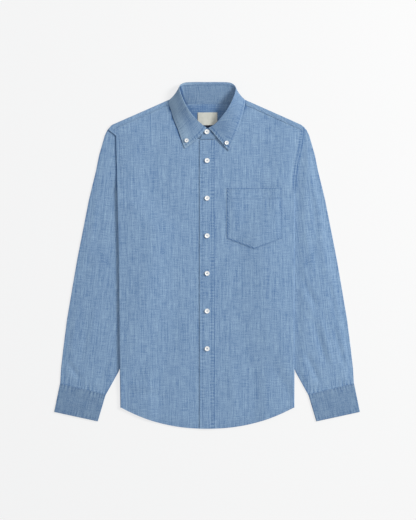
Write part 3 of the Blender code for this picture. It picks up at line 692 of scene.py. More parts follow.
# %% The line beside the collar leaf
LEAF_SHADOW = {
    # height, distance from the middle: where the collar leaf's edge lies on the front
    "right": (
        (245.0, 52.0), (257.0, 54.6), (271.5, 60.0), (294.0, 67.5), (318.0, 77.5),
        (338.5, 83.5), (353.0, 88.2),
    ),
    "left": ((318.0, 79.8), (339.0, 85.5), (355.0, 89.1), (365.0, 89.4)),
}
LEAF_SHADOW_DARK = {"right": 1.9, "left": 1.3}
LEAF_SHADOW_STARTS = {"right": (252.0, 275.0), "left": (322.0, 345.0)}


def leaf_shadow(side, x, y):
    """Painted shadow beside the collar leaf's outer edge."""
    beside = np.abs(x) - table(LEAF_SHADOW[side], y)
    line = ease(-6.0, -1.0, beside) * (1.0 - ease(0.4, 4.0, beside))
    return -LEAF_SHADOW_DARK[side] * line * ease(*LEAF_SHADOW_STARTS[side], y)


# %% Wear, painted light and painted shade of the fronts
def armhole_ridge_shading(away_side):
    """Painted light and shade of the left front's turning over the sleeve seam: a painted
    highlight on the ridge, painted shade beside it, then pale at its stitches.
    """
    ridge = 0.5 * (1.0 - ease(0.5, 3.0, away_side))
    ridge = ridge - 0.4 * ease(2.5, 4.0, away_side) * (1.0 - ease(7.0, 9.5, away_side))
    return ridge + 0.3 * (1.0 - ease(1.0, 2.5, np.abs(away_side - ARMHOLE_STITCH - 1.5)))


# Wear of a front, with a painted highlight along the yoke seam, painted shadows beside the collar
# leaf and along the hem, and the painted ridge over the left armhole.
def front_wear_and_shading(side, x, y):
    seams = FRONT_SEAMS[side]
    away_side = body_edge(y, side) - np.abs(x)
    total = seam_wear_and_shade(x, y - hem(x) - HEM_STITCH, seams["hem"], 8.0, dark=0.10, light=0.16)
    total = total + seam_wear_and_shade(x, front_top(x) - y, seams["top"], 7.0, dark=-0.1, light=0.25)
    total = total + leaf_shadow(side, x, y) + painted_rim_shade(y - hem(x))
    if side == "right":
        from_row = away_side - ARMHOLE_STITCH
        armhole = seam_wear_and_shade(y, from_row, seams["armhole"], 7.0, dark=0.3, light=0.25)
    else:
        armhole = armhole_ridge_shading(away_side)
        armhole = armhole + pucker(y, away_side - 5.0, seams["armhole"], 10.0, 0.3)
    return total + ease(*ARMHOLE_STARTS, y) * armhole


# %% The two fronts
CLOTH_WALL = 0.6
FRONTS_MEET = {"right": -14.7, "left": 15.0}
fronts = {}
for side in SIDES:
    meets = abs(FRONTS_MEET[side]) / HEM_HALF
    columns = [meets, meets + 0.012, meets + 0.025, 0.115]
    middle, grain = panel_points(side, columns, WIDE_TURN, LAYER, front_top, front_lift(side))
    middle[:, 0, 0] = FRONTS_MEET[side]
    wear_and_shading = front_wear_and_shading(side, middle[..., 0], middle[..., 1])
    fronts[side] = cloth_sheet(
        "front_" + side + "_cloth", middle, grain, CLOTH_WALL, CLOTH, wear_and_shading, turned=side == "right"
    )
    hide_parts("front_" + side)

# %% [markdown]
# ## The back
# Little of the back shows: a strip inside the neck, and its sides where they come round below.
# It is one sheet through the middle, so it is made as two halves with one grid between them,
# and every third row is enough for it.

# %% The back
BACK_EVERY_ROW = 3


def no_lift(x, y):
    return np.zeros_like(y)


def back_seam(x):
    return YOKE_BACK_SEAM


halves = {
    side: panel_points(side, [0.0, 0.07], TURN, 0.0, back_seam, no_lift) for side in SIDES
}
middle = np.concatenate([halves["right"][0][:, ::-1], halves["left"][0][:, 1:]], axis=1)
grain = np.concatenate([halves["right"][1][:, ::-1], halves["left"][1][:, 1:]], axis=1)
middle, grain = middle[::BACK_EVERY_ROW], grain[::BACK_EVERY_ROW]
back = cloth_sheet("back_cloth", middle, grain, CLOTH_WALL, CLOTH)
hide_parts("back")

# %% [markdown]
# ## Sleeves
# A sleeve is a tube, pressed flat, so its grid goes over the top, round the inner fold, back
# below and round the outer fold, and its first and last columns are merged. Long soft folds
# run down it from the elbow, and it is gathered a little where the cuff takes it in.

# %% Folds of the sleeves
SLEEVE_PUFF = {"right": 1.3, "left": 2.2}
PUFF_INNER = {"right": 60.0, "left": 26.0}
PUFF_OUTER = 24.0
SEAM_HEIGHT = 2.2  # upper face of a sleeve where the cuff or the armhole takes it in
SLEEVE_FOLDS = {
    # start across, start height, end across, end height, half width, height
    "left": (
        (212, -35, 257, -122, 12, -1.5), (247, -141, 278, -252, 11, -1.7),
        (299, -172, 325, -266, 10, -1.4), (231, -228, 264, -299, 10, -1.6),
        (214, -262, 243, -318, 8, 1.0), (268, -150, 297, -262, 10, 1.1),
        (244, 150, 262, 40, 12, -0.7), (262, 70, 284, -60, 11, 0.6),
        (232, 60, 250, -40, 10, 0.7), (286, -60, 306, -160, 10, -0.8),
        (322, -200, 335, -280, 7, 0.6), (236, -100, 262, -190, 9, 0.8),
    ),
    "right": (
        (300, -60, 270, -10, 15, -0.9), (330, -250, 296, -296, 11, -1.0),
        (226, -236, 258, -306, 10, -0.9), (248, 120, 262, 10, 14, -0.5),
        (310, -150, 322, -240, 12, 0.5), (262, -120, 276, -220, 14, 0.5),
        (282, -180, 300, -262, 10, -0.5), (236, 30, 250, -60, 12, 0.4),
    ),
}
GATHERED_WIDTH = 107.0
GATHERS = 13  # small folds where the cuff takes the sleeve in
GATHERING = {
    "right": (GATHERED_WIDTH / GATHERS, 0.4),
    "left": (GATHERED_WIDTH / GATHERS, 2.2),
}
UNDERARM_ENDS = -271.0  # below here the inner fold is clear of the body


def sleeve_height(across, y, down, side):
    """Upper face of the sleeve; down is the distance above the cuff seam."""
    inner = ease(2.0, PUFF_INNER[side], across - body_edge(y, side))
    beside = ease(0.0, PUFF_INNER[side], across - sleeve_inner(y, side))
    inner = np.where(y < UNDERARM_ENDS, beside, inner)
    outer = ease(2.0, PUFF_OUTER, table(SLEEVE_OUTER, y, 1, 0) - across)
    soft = SLEEVE_PUFF[side] + creases(SLEEVE_FOLDS[side], across, y)
    settle = 0.12 + 0.88 * ease(0.0, 26.0, down)
    gather = 0.95 * wave(across, GATHERING[side])
    gather = gather * (1.0 - ease(4.0, 38.0, down)) * ease(0.0, 3.0, down)
    return LAYER + WALL + inner * outer * (soft * settle + gather)


# %% Points of a flattened tube
def reached(line):
    """Distance along a line at each of its points."""
    steps = np.linalg.norm(np.diff(line, axis=0), axis=1)
    return np.concatenate([[0.0], np.cumsum(steps)])


def line_at(points, share):
    """Points at these shares of the length of a line."""
    line = np.asarray(points, float)
    run = reached(line)
    return np.stack([np.interp(share * run[-1], run, line[:, k]) for k in (0, 1)], axis=-1)


def unit(vectors):
    """The same directions, each of length 1."""
    return vectors / np.linalg.norm(vectors, axis=-1, keepdims=True)


FOLD_ANGLES = np.radians(np.linspace(75.0, -75.0, 9))


def tube_ring(plan, heights, outward, wall):
    """Middle of a flattened tube from the plan of its upper face and that face's heights."""
    radius = (wall + GAP) / 2
    centre = wall + GAP / 2
    top = np.concatenate([plan, heights[..., None] - wall / 2], axis=2)
    below = np.concatenate([plan[:, ::-1], np.full(plan.shape[:2] + (1,), wall / 2)], axis=2)
    out3 = np.concatenate([outward, np.zeros((len(outward), 1))], axis=1)
    folds = []
    for end, sign, angles in ((plan[:, -1], -1.0, FOLD_ANGLES), (plan[:, 0], 1.0, -FOLD_ANGLES)):
        middle = np.concatenate([end, np.full((len(end), 1), centre)], axis=1)[:, None]
        away = sign * np.cos(angles)[None, :, None] * out3[:, None]
        up = np.sin(angles)[None, :, None] * np.array([0.0, 0.0, 1.0])
        folds.append(middle + radius * (away + up))
    return np.concatenate([top, folds[0], below, folds[1], top[:, :1]], axis=1)


def on_top(wear_and_shading, ring):
    """Wear and painted shading of a whole tube: this on its upper face, and none on its folds or
    below.
    """
    return np.concatenate([wear_and_shading, np.zeros((len(ring), ring.shape[1] - wear_and_shading.shape[1]))], axis=1)


# %% Plan of the sleeves
SLEEVE_ACROSS = 1.0 - spread((0.0, 0.12, 5), (0.12, 0.88, 24), (0.88, 1.0, 5))[::-1]
SLEEVE_DOWN = spread((0.0, 0.85, 190), (0.85, 1.0, 52))
CUFF_LINE = (SLEEVE_OUTER[-1], UNDERARM_SEAM[-1])


def sleeve_plan(side):
    """Plan of a sleeve, [down][across], and the direction out of its outer fold."""
    u, v = np.meshgrid(SLEEVE_ACROSS, SLEEVE_DOWN)
    u, v = u[..., None], v[..., None]
    armhole = (SLEEVE_OUTER[0],) + ARMHOLE[side] + (UNDERARM_SEAM[0],)
    outer, inner = line_at(SLEEVE_OUTER, v[..., 0]), line_at(UNDERARM_SEAM, v[..., 0])
    top, low = line_at(armhole, u[..., 0]), line_at(CUFF_LINE, u[..., 0])
    corners = (1 - v) * ((1 - u) * np.array(armhole[0]) + u * np.array(armhole[-1]))
    corners = corners + v * ((1 - u) * np.array(CUFF_LINE[0]) + u * np.array(CUFF_LINE[1]))
    plan = (1 - u) * outer + u * inner + (1 - v) * top + v * low - corners
    outward = unit((outer - inner)[:, 0])
    inset = WALL + GAP / 2
    plan[:, 0] -= outward * inset
    plan[:, -1] += outward * inset
    return plan, outward


SLEEVE_RUN = np.array([66.0, -619.0])  # from shoulder to cuff
SLEEVE_WAY = SLEEVE_RUN / math.hypot(*SLEEVE_RUN)
CUFF_TUCK = 0.7


def tube_grain(ring, way):
    """Grain round a flattened tube, straight down this way on both faces."""
    aside = ring[..., :2] @ np.array([-way[1], way[0]])
    steps = np.abs(np.diff(aside, axis=1))
    around = np.concatenate([-aside[:, :1], -aside[:, :1] + np.cumsum(steps, axis=1)], axis=1)
    return np.stack([around, -(ring[..., :2] @ way)], axis=2)


def mirrored(points, sign):
    return points * np.array([sign, 1.0, 1.0])[: points.shape[-1]]


# %% The sleeves
ARMHOLE_SHADE = 0.5

for side, sign in SIDES.items():
    plan, outward = sleeve_plan(side)
    across, y = plan[..., 0], plan[..., 1]
    down = run_lengths(plan, 0)
    down = down[-1:] - down
    heights = sleeve_height(across, y, down, side)
    heights[:, 0] = heights[:, -1] = LAYER + WALL
    heights[-1] = heights[0] = SEAM_HEIGHT
    ring = tube_ring(plan, heights, outward, WALL)
    ring[-1, :, :2] += CUFF_TUCK * SLEEVE_WAY
    wear_and_shading = seam_wear_and_shade(across, down - 1.0, GATHERING[side], 26.0, dark=0.3, light=0.55)
    folds = [np.linalg.norm(plan - plan[:, k][:, None], axis=2) for k in (0, -1)]
    beside = across - body_edge(y, side)
    # Painted shade along its folded edges, and the painted shadow that the front's edge throws on
    # it
    wear_and_shading = wear_and_shading + painted_rim_shade(np.minimum(*folds))
    wear_and_shading = wear_and_shading - ARMHOLE_SHADE * (1.0 - ease(0.5, 4.0, beside)) * ease(130.0, 165.0, y)
    cloth_sheet(
        "sleeve_" + side + "_cloth", mirrored(ring, sign), tube_grain(ring, SLEEVE_WAY),
        CLOTH_WALL, CLOTH, on_top(wear_and_shading, ring), closed=True, turned=side == "right",
    )
    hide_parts("sleeve_" + side)

# %% [markdown]
# ## Cuffs
# A cuff is the same kind of flat tube, stiffer and with no folds of its own: a slight crown,
# and puckers along the stitches at its two edges. It takes the gathered end of the sleeve in.

# %% Sizes of a cuff
CUFF_OUTER = ((346.2, -302.2), (360.0, -369.2))
CUFF_INNER = ((238.2, -328.2), (257.0, -391.6))
CUFF_CROWN = 0.5
CUFF_WIDE = 106.0
CUFF_DEEP = 64.0
CUFF_STITCH = 2.2  # from the sleeve's seam
CUFF_FOOT_STITCH = 6.0  # from the lower edge
CUFF_CREASES = (
    # start across, start down, end across, end down, half width, height
    (10, 40, 70, 34, 10, 0.25), (30, 20, 95, 26, 9, -0.25), (60, 48, 100, 52, 8, 0.2),
)
STIFF_CLOTH_WALL = STIFF_WALL - 0.2
CUFF_SEAMS = {
    # length and start of the waves at the sleeve's seam and at the lower edge
    "right": ((7.2, 0.9), (7.9, 1.9)),
    "left": ((7.2, 3.3), (7.9, 4.3)),
}
CUFF_ACROSS = spread((0.0, 1.0, 58))
CUFF_DOWN = spread((0.0, 1.0, 36))
print("cuff:", CUFF_WIDE, "by", CUFF_DEEP, "mm")

# %% The cuffs
cuffs = {}
for side, sign in SIDES.items():
    u, v = np.meshgrid(CUFF_ACROSS, CUFF_DOWN)
    outer, inner = line_at(CUFF_OUTER, v), line_at(CUFF_INNER, v)
    outward = unit((outer - inner)[:, 0])
    inset = STIFF_WALL + GAP / 2
    down_way = unit(np.subtract(*CUFF_OUTER[::-1]))
    plan = (1 - u[..., None]) * (outer - outward[:, None] * inset)
    plan = plan + u[..., None] * (inner + outward[:, None] * inset)
    plan = plan + GAP * (1 - v[..., None]) * down_way
    across, down = u * CUFF_WIDE, v * CUFF_DEEP
    from_head, from_foot = down - CUFF_STITCH, CUFF_DEEP - down - CUFF_FOOT_STITCH
    head, foot = CUFF_SEAMS[side]
    heights = 2 * STIFF_WALL + GAP + CUFF_CROWN * np.sin(math.pi * u)
    heights = heights + pucker(across, from_head, head, 15.0, 0.30)
    heights = heights + pucker(across, from_foot, foot, 11.0, 0.24)
    heights = heights + creases(CUFF_CREASES, across, down)
    heights[:, 0] = heights[:, -1] = 2 * STIFF_WALL + GAP
    ring = tube_ring(plan, heights, outward, STIFF_WALL)
    wear_and_shading = seam_wear_and_shade(across, from_head, head, 12.0, dark=0.25, light=0.5)
    wear_and_shading = wear_and_shading + seam_wear_and_shade(across, from_foot, foot, 10.0, dark=0.2, light=0.35)
    # Painted shade along its folded ends and its foot
    sides = np.minimum(across, CUFF_WIDE - across)
    wear_and_shading = wear_and_shading + painted_rim_shade(np.minimum(sides, CUFF_DEEP - down))
    cuffs[side] = cloth_sheet(
        "cuff_" + side + "_cloth", mirrored(ring, sign), tube_grain(ring, down_way),
        STIFF_CLOTH_WALL, CUFF_CLOTH, on_top(wear_and_shading, ring), closed=True, turned=side == "right",
    )
    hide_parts("cuff_" + side)

# %% [markdown]
# ## The yoke
# The yoke lies across the back, comes over the shoulder in one fold, and ends in a seam just
# below it on each front. So each of its columns runs up the back, round the fold and down the
# other side, and is drawn in towards the armhole where the yoke narrows.

# %% Columns of the yoke
YOKE_TAPERS = 150.0  # from here outwards the yoke narrows down to the armhole
YOKE_INSET = 1.5  # from the body's edge
YOKE_X = spread(
    (-235.5, -88.0, 62), (-88.0, -78.0, 8), (-78.0, 78.0, 60), (78.0, 88.0, 8), (88.0, 228.5, 58)
)
YOKE_BACK_ROWS = 14
YOKE_FRONT_ROWS = 8
YOKE_SEAM = (6.8, 1.1)  # length and start of its waves
YOKE_STITCH = 2.2
LEAST_STRIP = 2.2  # of the yoke that is left past its fold, inside the neck
LEAST_ROLL = 0.02  # and the angle it is folded by there


def yoke_points():
    """Up the back, over the shoulder and down to the front seam, for every column."""
    x = YOKE_X
    side = np.where(x < 0, -1, 1)

    def under(y):
        right, left = under_back(x, y, "right"), under_back(x, y, "left")
        return np.where(side < 0, right, left)

    past = np.abs(x) - NECK_HALF
    over = YOKE_FRONT_DEPTH * ease(2.0, 6.0, past)
    strip = np.maximum(over - WALL / 2 - TURN - GAP, LEAST_STRIP)
    angle = np.maximum(math.pi * ease(1.0, 6.0, past), LEAST_ROLL)
    centre = shoulder(x) - WALL / 2 - TURN
    rows = []
    for k in range(YOKE_BACK_ROWS):
        y = YOKE_BACK_SEAM + (centre - YOKE_BACK_SEAM) * k / YOKE_BACK_ROWS
        rows.append(np.stack([x, y, under(y) + WALL / 2], axis=1))
    base = under(centre) + WALL / 2
    for k in range(FOLD_STEPS + 1):
        a = angle * k / FOLD_STEPS
        y, z = centre + TURN * np.sin(a), base + TURN * (1.0 - np.cos(a))
        rows.append(np.stack([x, y, z], axis=1))
    start_y, start_z = y, z
    for k in range(1, YOKE_FRONT_ROWS + 1):
        s = strip * k / YOKE_FRONT_ROWS
        y = start_y + s * np.cos(angle)
        z = start_z + s * np.sin(angle) + under(y) - under(start_y)
        wavy = pucker(x, strip - s, YOKE_SEAM, 9.0, 0.20)
        wavy = wavy + groove(strip - s - YOKE_STITCH, 1.3, TOP_STITCH_DIP)
        z = z + wavy * ease(2.0, 9.0, past) * ease(0.0, 3.0, s)
        rows.append(np.stack([x, y, z], axis=1))
    return np.stack(rows)


def narrowed(points):
    """The yoke's points drawn in towards each armhole."""
    across = np.abs(YOKE_X)
    for side, sign in SIDES.items():
        end = np.abs(YOKE_X[0 if sign < 0 else -1])
        reach = np.minimum(body_edge(points[..., 1], side) - YOKE_INSET, end)
        drawn = (across - YOKE_TAPERS) * (reach - YOKE_TAPERS) / (end - YOKE_TAPERS)
        drawn = sign * (YOKE_TAPERS + drawn)
        points[..., 0] = np.where(sign * YOKE_X > YOKE_TAPERS, drawn, points[..., 0])
    return points


# %% Shade beside the collar's roll
ROLL_LINE = (
    # height, distance from the middle: where the leaf rolls over on the wearer's right
    (306.0, 10.0), (332.0, 33.0), (346.0, 43.0), (360.0, 52.5), (370.0, 57.0), (390.0, 63.0),
    (402.0, 68.0),
)


def roll_shadow(x, y):
    """Painted shadow beside the roll on the wearer's right, sharpest near its top."""
    beside = x + table(ROLL_LINE, y)
    width = 4.5 + 4.0 * (1.0 - ease(335.0, 365.0, y))
    deep = 0.5 + 0.9 * ease(350.0, 375.0, y)
    line = -deep * ease(-3.0, 0.0, beside) * (1.0 - ease(0.3, 1.0, beside / width))
    return line * ease(318.0, 334.0, y)


# %% The yoke
middle = narrowed(yoke_points())
grain = np.stack([run_lengths(middle, 0), middle[..., 0]], axis=2)
x, y = middle[..., 0], middle[..., 1]
# Painted shade inside the neck, darkest in the hollow below the stand, and the painted shadows
# beside the roll and the leaf
wear_and_shading = painted_hollow_shade(middle, (3.0, 334.0), (95.0, 36.0), dark=0.55) + roll_shadow(x, y)
wear_and_shading = wear_and_shading + painted_hollow_shade(middle, (3.0, 302.5), (26.0, 9.0), dark=2.4)
wear_and_shading = wear_and_shading + np.where(x > 0, leaf_shadow("left", x, y), 0.0)
yoke = cloth_sheet("yoke_cloth", middle, grain, CLOTH_WALL, CLOTH, wear_and_shading, turned=True)
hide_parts("yoke")

# %% [markdown]
# ## Front band
# The band is a folded strip, sewn on along one edge and stitched along both. It lies on the
# fronts and takes its height from the layers below it. Each buttonhole is a slit pressed into it
# and darkened with painted shade, because at this distance its cut and its stitches can't be
# told apart. Its sewn edge has a painted shadow line.

# %% Form of the band
BUTTON_LINE = 0.4
BUTTON_FIRST = 222.3
BUTTON_PITCH = 88.5
BUTTON_COUNT = 6
BUTTON_HEIGHTS = [BUTTON_FIRST - BUTTON_PITCH * k for k in range(BUTTON_COUNT)]
BUTTON_DIP = 0.14
SLIT_DIP = 0.25
SLIT_SHADE = 0.55
DARKEST_SEAM = -0.9  # a seam stays above the dark of a fold
FREE_SEAM, SEWN_SEAM = (7.9, 4.1), (7.2, 5.3)  # length and start of the waves at each edge


def band_lift(x, y):
    free, sewn = x - BAND_FREE_EDGE, BAND_SEAM_EDGE - x
    total = pucker(y, free, FREE_SEAM, 9.0, 0.26) + pucker(y, sewn, SEWN_SEAM, 9.0, 0.24)
    total = total + groove(free - BAND_STITCH, 1.5, 0.18) + groove(sewn - BAND_STITCH, 1.5, 0.18)
    for height in BUTTON_HEIGHTS:
        reach = np.hypot((x - BUTTON_LINE) / 9.0, (y - height) / 14.0)
        total = total - BUTTON_DIP * (1.0 - ease(0.35, 1.0, reach))
    return total


def slits(x, y):
    """1 on each buttonhole and 0 away from it."""
    beside = np.min([np.abs(y - height) for height in BUTTON_HEIGHTS], axis=0)
    across = 1.0 - ease(0.5, 1.9, np.abs(x - BUTTON_LINE))
    return across * (1.0 - ease(6.5, 8.0, beside))


# Seam lines, a painted shadow line along the sewn edge, and painted shade in each buttonhole
def band_wear_and_shading(x, y):
    free, sewn = x - BAND_FREE_EDGE, BAND_SEAM_EDGE - x
    total = seam_wear_and_shade(y, free - BAND_STITCH, FREE_SEAM, 6.5, dark=0.35, light=0.35)
    total = total + seam_wear_and_shade(y, sewn - BAND_STITCH, SEWN_SEAM, 6.5, dark=0.5, light=0.45)
    total = total + seam_wear_and_shade(y, sewn, SEWN_SEAM, 5.0, dark=1.1, light=0.5)
    return np.maximum(total - SLIT_SHADE * slits(x, y), DARKEST_SEAM)


# %% The band
across = spread((0.0, 0.3, 10), (0.3, 0.7, 7), (0.7, 1.0, 10))
u, v = np.meshgrid(across, spread((0.0, 1.0, 330)))
x = BAND_FREE_EDGE + (BAND_SEAM_EDGE - BAND_FREE_EDGE) * u
y = hem(x) + (NECK_FRONT - hem(x)) * v
z = under_back(x, y, "left") + LAYER + WALL + GAP + WALL / 2 + band_lift(x, y)
middle = np.stack([x, y, z - SLIT_DIP * slits(x, y)], axis=2)
band = cloth_sheet("band_cloth", middle, middle[..., :2], WALL, CLOTH, band_wear_and_shading(x, y))
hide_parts("placket")

# %% [markdown]
# ## Pocket
# The pocket is a patch, turned in at its sides and foot and hemmed at its open top, where it
# stands off the shirt a little. It takes its heights from the front beneath, so it follows the
# front's folds, and its grain is moved along, as a piece cut from another place would be.

# %% Heights on the fronts
LIFTS = {side: front_lift(side) for side in SIDES}


def on_fronts(x, y):
    """Height just clear of the fronts, with their loft and creases."""
    total = np.zeros(np.broadcast(x, y).shape)
    for side, sign in SIDES.items():
        here = under_back(x, y, side) + LAYER + WALL + GAP + LIFTS[side](x, y)
        total = np.where(np.sign(x) == sign, here, total)
    return total


# %% Form of the pocket
POCKET_INNER = 47.3
POCKET_OUTER = 176.2
POCKET_TOP = 156.8
POCKET_CORNER = 38.9
POCKET_TIP = (111.9, 14.1)
POCKET_STITCH = 2.2
POCKET_HEM = 24.0
POCKET_CREASES = (
    # start x, start y, end x, end y, half width, height
    (146, 150, 140, 96, 7, -0.35), (133, 148, 128, 118, 6, -0.3),
    (70, 120, 76, 60, 14, 0.25), (100, 60, 150, 44, 9, -0.25),
)

POCKET_GRAIN_SHIFT = 310.0
POCKET_SEAMS = {
    # length and start of the waves
    "side": (6.9, 6.2), "foot": (7.3, 2.6), "outline": (7.1, 6.2),
    "top": (7.4, 1.2), "hem": (7.4, 2.2),
}


def pocket_low(x):
    reach = np.where(x < POCKET_TIP[0], POCKET_TIP[0] - POCKET_INNER, POCKET_OUTER - POCKET_TIP[0])
    return POCKET_TIP[1] + (POCKET_CORNER - POCKET_TIP[1]) * np.abs(x - POCKET_TIP[0]) / reach


def from_sides(x):
    return np.minimum(x - POCKET_INNER, POCKET_OUTER - x)


def pocket_lift(x, y):
    foot = y - pocket_low(x)
    edge = np.minimum(from_sides(x), foot)
    total = -0.15 + 0.8 * ease(0.0, 16.0, edge) + creases(POCKET_CREASES, x, y)
    total = total + pucker(y, from_sides(x), POCKET_SEAMS["side"], 9.0, 0.22)
    total = total + pucker(x, foot, POCKET_SEAMS["foot"], 9.0, 0.22)
    total = total + groove(edge - POCKET_STITCH, 1.4, 0.2)
    total = total + groove(POCKET_TOP - POCKET_HEM - y, 1.6, 0.14)
    return total + 0.35 * ease(POCKET_TOP - 10.0, POCKET_TOP, y) * ease(4.0, 30.0, edge)


# Seam lines and puckers, and painted shade along its edges and under its open top, fainter towards
# its outer side, which faces the light
def pocket_wear_and_shading(x, y):
    edge = np.minimum(from_sides(x), y - pocket_low(x))
    below_top, outline = POCKET_TOP - y, POCKET_SEAMS["outline"]
    total = seam_wear_and_shade(x + y, edge - POCKET_STITCH, outline, 7.0, dark=0.45, light=0.45)
    total = total + seam_wear_and_shade(x + y, edge, outline, 4.0, dark=0.6, light=0.45)
    total = total * (1.0 - 0.6 * ease(100.0, 165.0, x))
    total = total + seam_wear_and_shade(x, below_top, POCKET_SEAMS["top"], 6.0, dark=0.75, light=0.2)
    return total + seam_wear_and_shade(x, below_top - POCKET_HEM, POCKET_SEAMS["hem"], 5.0, dark=0.2, light=0.2)


# %% The pocket
across = spread((0.0, 0.1, 10), (0.1, 0.9, 46), (0.9, 1.0, 10))
u, v = np.meshgrid(across, spread((0.0, 0.08, 8), (0.08, 1.0, 62)))
x = POCKET_INNER + (POCKET_OUTER - POCKET_INNER) * u
y = pocket_low(x) + (POCKET_TOP - pocket_low(x)) * v
middle = np.stack([x, y, on_fronts(x, y) + CLOTH_WALL / 2 + pocket_lift(x, y)], axis=2)
grain = middle[..., :2] + POCKET_GRAIN_SHIFT
pocket = cloth_sheet("pocket_cloth", middle, grain, CLOTH_WALL, CLOTH, pocket_wear_and_shading(x, y))
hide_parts("pocket")

# %% [markdown]
# ## Collar
# The collar is two pieces: a band that stands round the neck, and a leaf that rolls over the
# band's top edge and falls outside it to two points. Both are lofted through the same sections
# as their solids, with more steps, so the roll is round. The leaf has its edge and its stitch
# row drawn up into puckers, which run out along its two points.

# %% Sections of the collar, from the centre back to the front edge
COLLAR_SECTIONS = (
    # seam across, seam height, seam lift, top lift, edge lift, roll, reach, arch
    (0.0, 356.8, 0.8, 12.0, 0.7, 11.0, 1.42, -2.7),
    (28.0, 356.8, 0.8, 12.2, 0.7, 11.0, 1.42, -2.7),
    (50.0, 357.0, 0.9, 13.0, 0.8, 10.0, 1.35, -1.8),
    (65.0, 357.6, 1.8, 16.0, 1.8, 8.0, 0.95, 3.0),
    (74.0, 354.5, 3.0, 20.0, 3.6, 6.0, 0.45, 8.0),
    (77.4, 345.0, 3.4, 23.0, 3.8, 5.5, 0.30, 10.0),
    (75.0, 331.0, 3.4, 22.5, 3.8, 5.5, 0.28, 10.0),
    (66.0, 312.0, 3.4, 18.5, 3.8, 5.0, 0.28, 8.5),
    (51.5, 294.5, 3.4, 13.0, 3.8, 4.0, 0.28, 6.0),
    (35.0, 282.6, 3.4, 9.0, 3.8, 3.0, 0.28, 3.8),
    (23.0, 276.6, 3.3, 6.6, 3.9, 2.4, 0.28, 2.8),
    (17.5, 274.6, 3.2, 5.4, 4.1, 2.0, 0.28, 2.4),
)
BAND_END = (
    # seam across, seam height, seam lift, top across, top height, top lift
    (6.0, 272.9, 3.0, 0.5, 299.0, 4.2),
    (-5.0, 272.9, 2.9, -3.5, 299.2, 3.9),
    (-15.3, 273.2, 2.9, -6.9, 299.6, 3.9),
)
STAND_TOP = {
    # across, height for each section
    "right": ((0.0, 399.0), (-30.0, 399.0), (-53.0, 398.4), (-62.5, 394.0), (-62.5, 384.0),
              (-57.0, 367.5), (-47.5, 347.0), (-37.5, 332.0), (-26.0, 319.0), (-15.0, 309.0),
              (-6.5, 302.4), (-2.8, 300.2)),
    "left": ((0.0, 399.0), (30.0, 399.0), (54.0, 398.4), (64.5, 393.0), (65.0, 381.0),
             (58.0, 360.5), (48.5, 343.0), (39.5, 330.5), (28.0, 316.2), (17.5, 306.6),
             (9.0, 301.6), (4.4, 299.2)),
}
LEAF_EDGE = {
    # across, height for each section
    "right": ((0.0, 368.0), (-34.0, 368.0), (-60.0, 368.5), (-78.0, 369.5), (-88.5, 364.0),
              (-88.2, 353.0), (-83.5, 338.5), (-77.5, 318.0), (-67.5, 294.0), (-60.0, 271.5),
              (-54.6, 257.0), (-51.8, 250.8)),
    "left": ((0.0, 368.0), (34.0, 368.0), (60.0, 368.5), (78.0, 369.5), (88.9, 365.0),
             (89.1, 355.0), (85.5, 339.0), (79.8, 318.0), (71.0, 291.5), (62.2, 269.0),
             (54.4, 251.5), (51.3, 244.9)),
}
print("collar:", len(COLLAR_SECTIONS), "sections a side")


# %% Curves through the sections
LEAF_LOWEST = STIFF_WALL / 2 + 0.05
STAND_STEPS = 6  # from each section to the next
LEAF_STEPS = 8


def smooth_rows(rows, between):
    """Rows with this many steps from each to the next, on a curve through them all."""
    rows = np.asarray(rows, float)
    padded = np.vstack([2 * rows[0] - rows[1], rows, 2 * rows[-1] - rows[-2]])
    made = []
    for before, a, b, after in zip(padded, padded[1:], padded[2:], padded[3:]):
        bend = 2 * before - 5 * a + 4 * b - after
        turn = 3 * a - before - 3 * b + after
        for t in np.arange(between) / between:
            made.append(0.5 * (2 * a + (b - before) * t + bend * t**2 + turn * t**3))
    return np.array(made + [rows[-1]])


def collar_controls():
    """Sections from the wearer's right front edge, round the neck, to the left one."""
    halves = {}
    for side, sign in SIDES.items():
        halves[side] = [
            (sign * across, height, lift, *top, top_lift, *edge, edge_lift, roll, reach, arch)
            for (across, height, lift, top_lift, edge_lift, roll, reach, arch), top, edge in zip(
                COLLAR_SECTIONS, STAND_TOP[side], LEAF_EDGE[side]
            )
        ]
    return halves["right"][::-1] + halves["left"][1:]


def grid_normals(middle):
    return unit(np.cross(np.gradient(middle, axis=1), np.gradient(middle, axis=0)))


def off_the_floor(middle):
    middle[..., 2] = np.maximum(middle[..., 2], LEAF_LOWEST)
    return middle


# %% The stand
STAND_FOOT, STAND_TOP_SEAM = (7.4, 0.5), (7.4, 1.5)  # length and start of the waves
STAND_STITCH = 2.0

stand_rows = [row[:6] for row in collar_controls()] + list(BAND_END)
stand_rows = smooth_rows(stand_rows, STAND_STEPS)
t = spread((-0.035, 0.0, 1), (0.0, 1.0, 14))[None, :, None]
middle = stand_rows[:, None, 0:3] * (1 - t) + stand_rows[:, None, 3:6] * t
along, up = run_lengths(middle, 0), run_lengths(middle, 1)
down = up[:, -1:] - up
waves = pucker(along, up - STAND_STITCH, STAND_FOOT, 8.0, 0.14)
waves = waves + pucker(along, down - STAND_STITCH, STAND_TOP_SEAM, 6.0, 0.08)
middle = off_the_floor(middle + grid_normals(middle) * waves[..., None])
wear_and_shading = seam_wear_and_shade(along, up - STAND_STITCH, STAND_FOOT, 8.0, dark=0.15, light=0.2)
wear_and_shading = wear_and_shading + seam_wear_and_shade(along, down, STAND_TOP_SEAM, 6.0, dark=0.3, light=0.2)
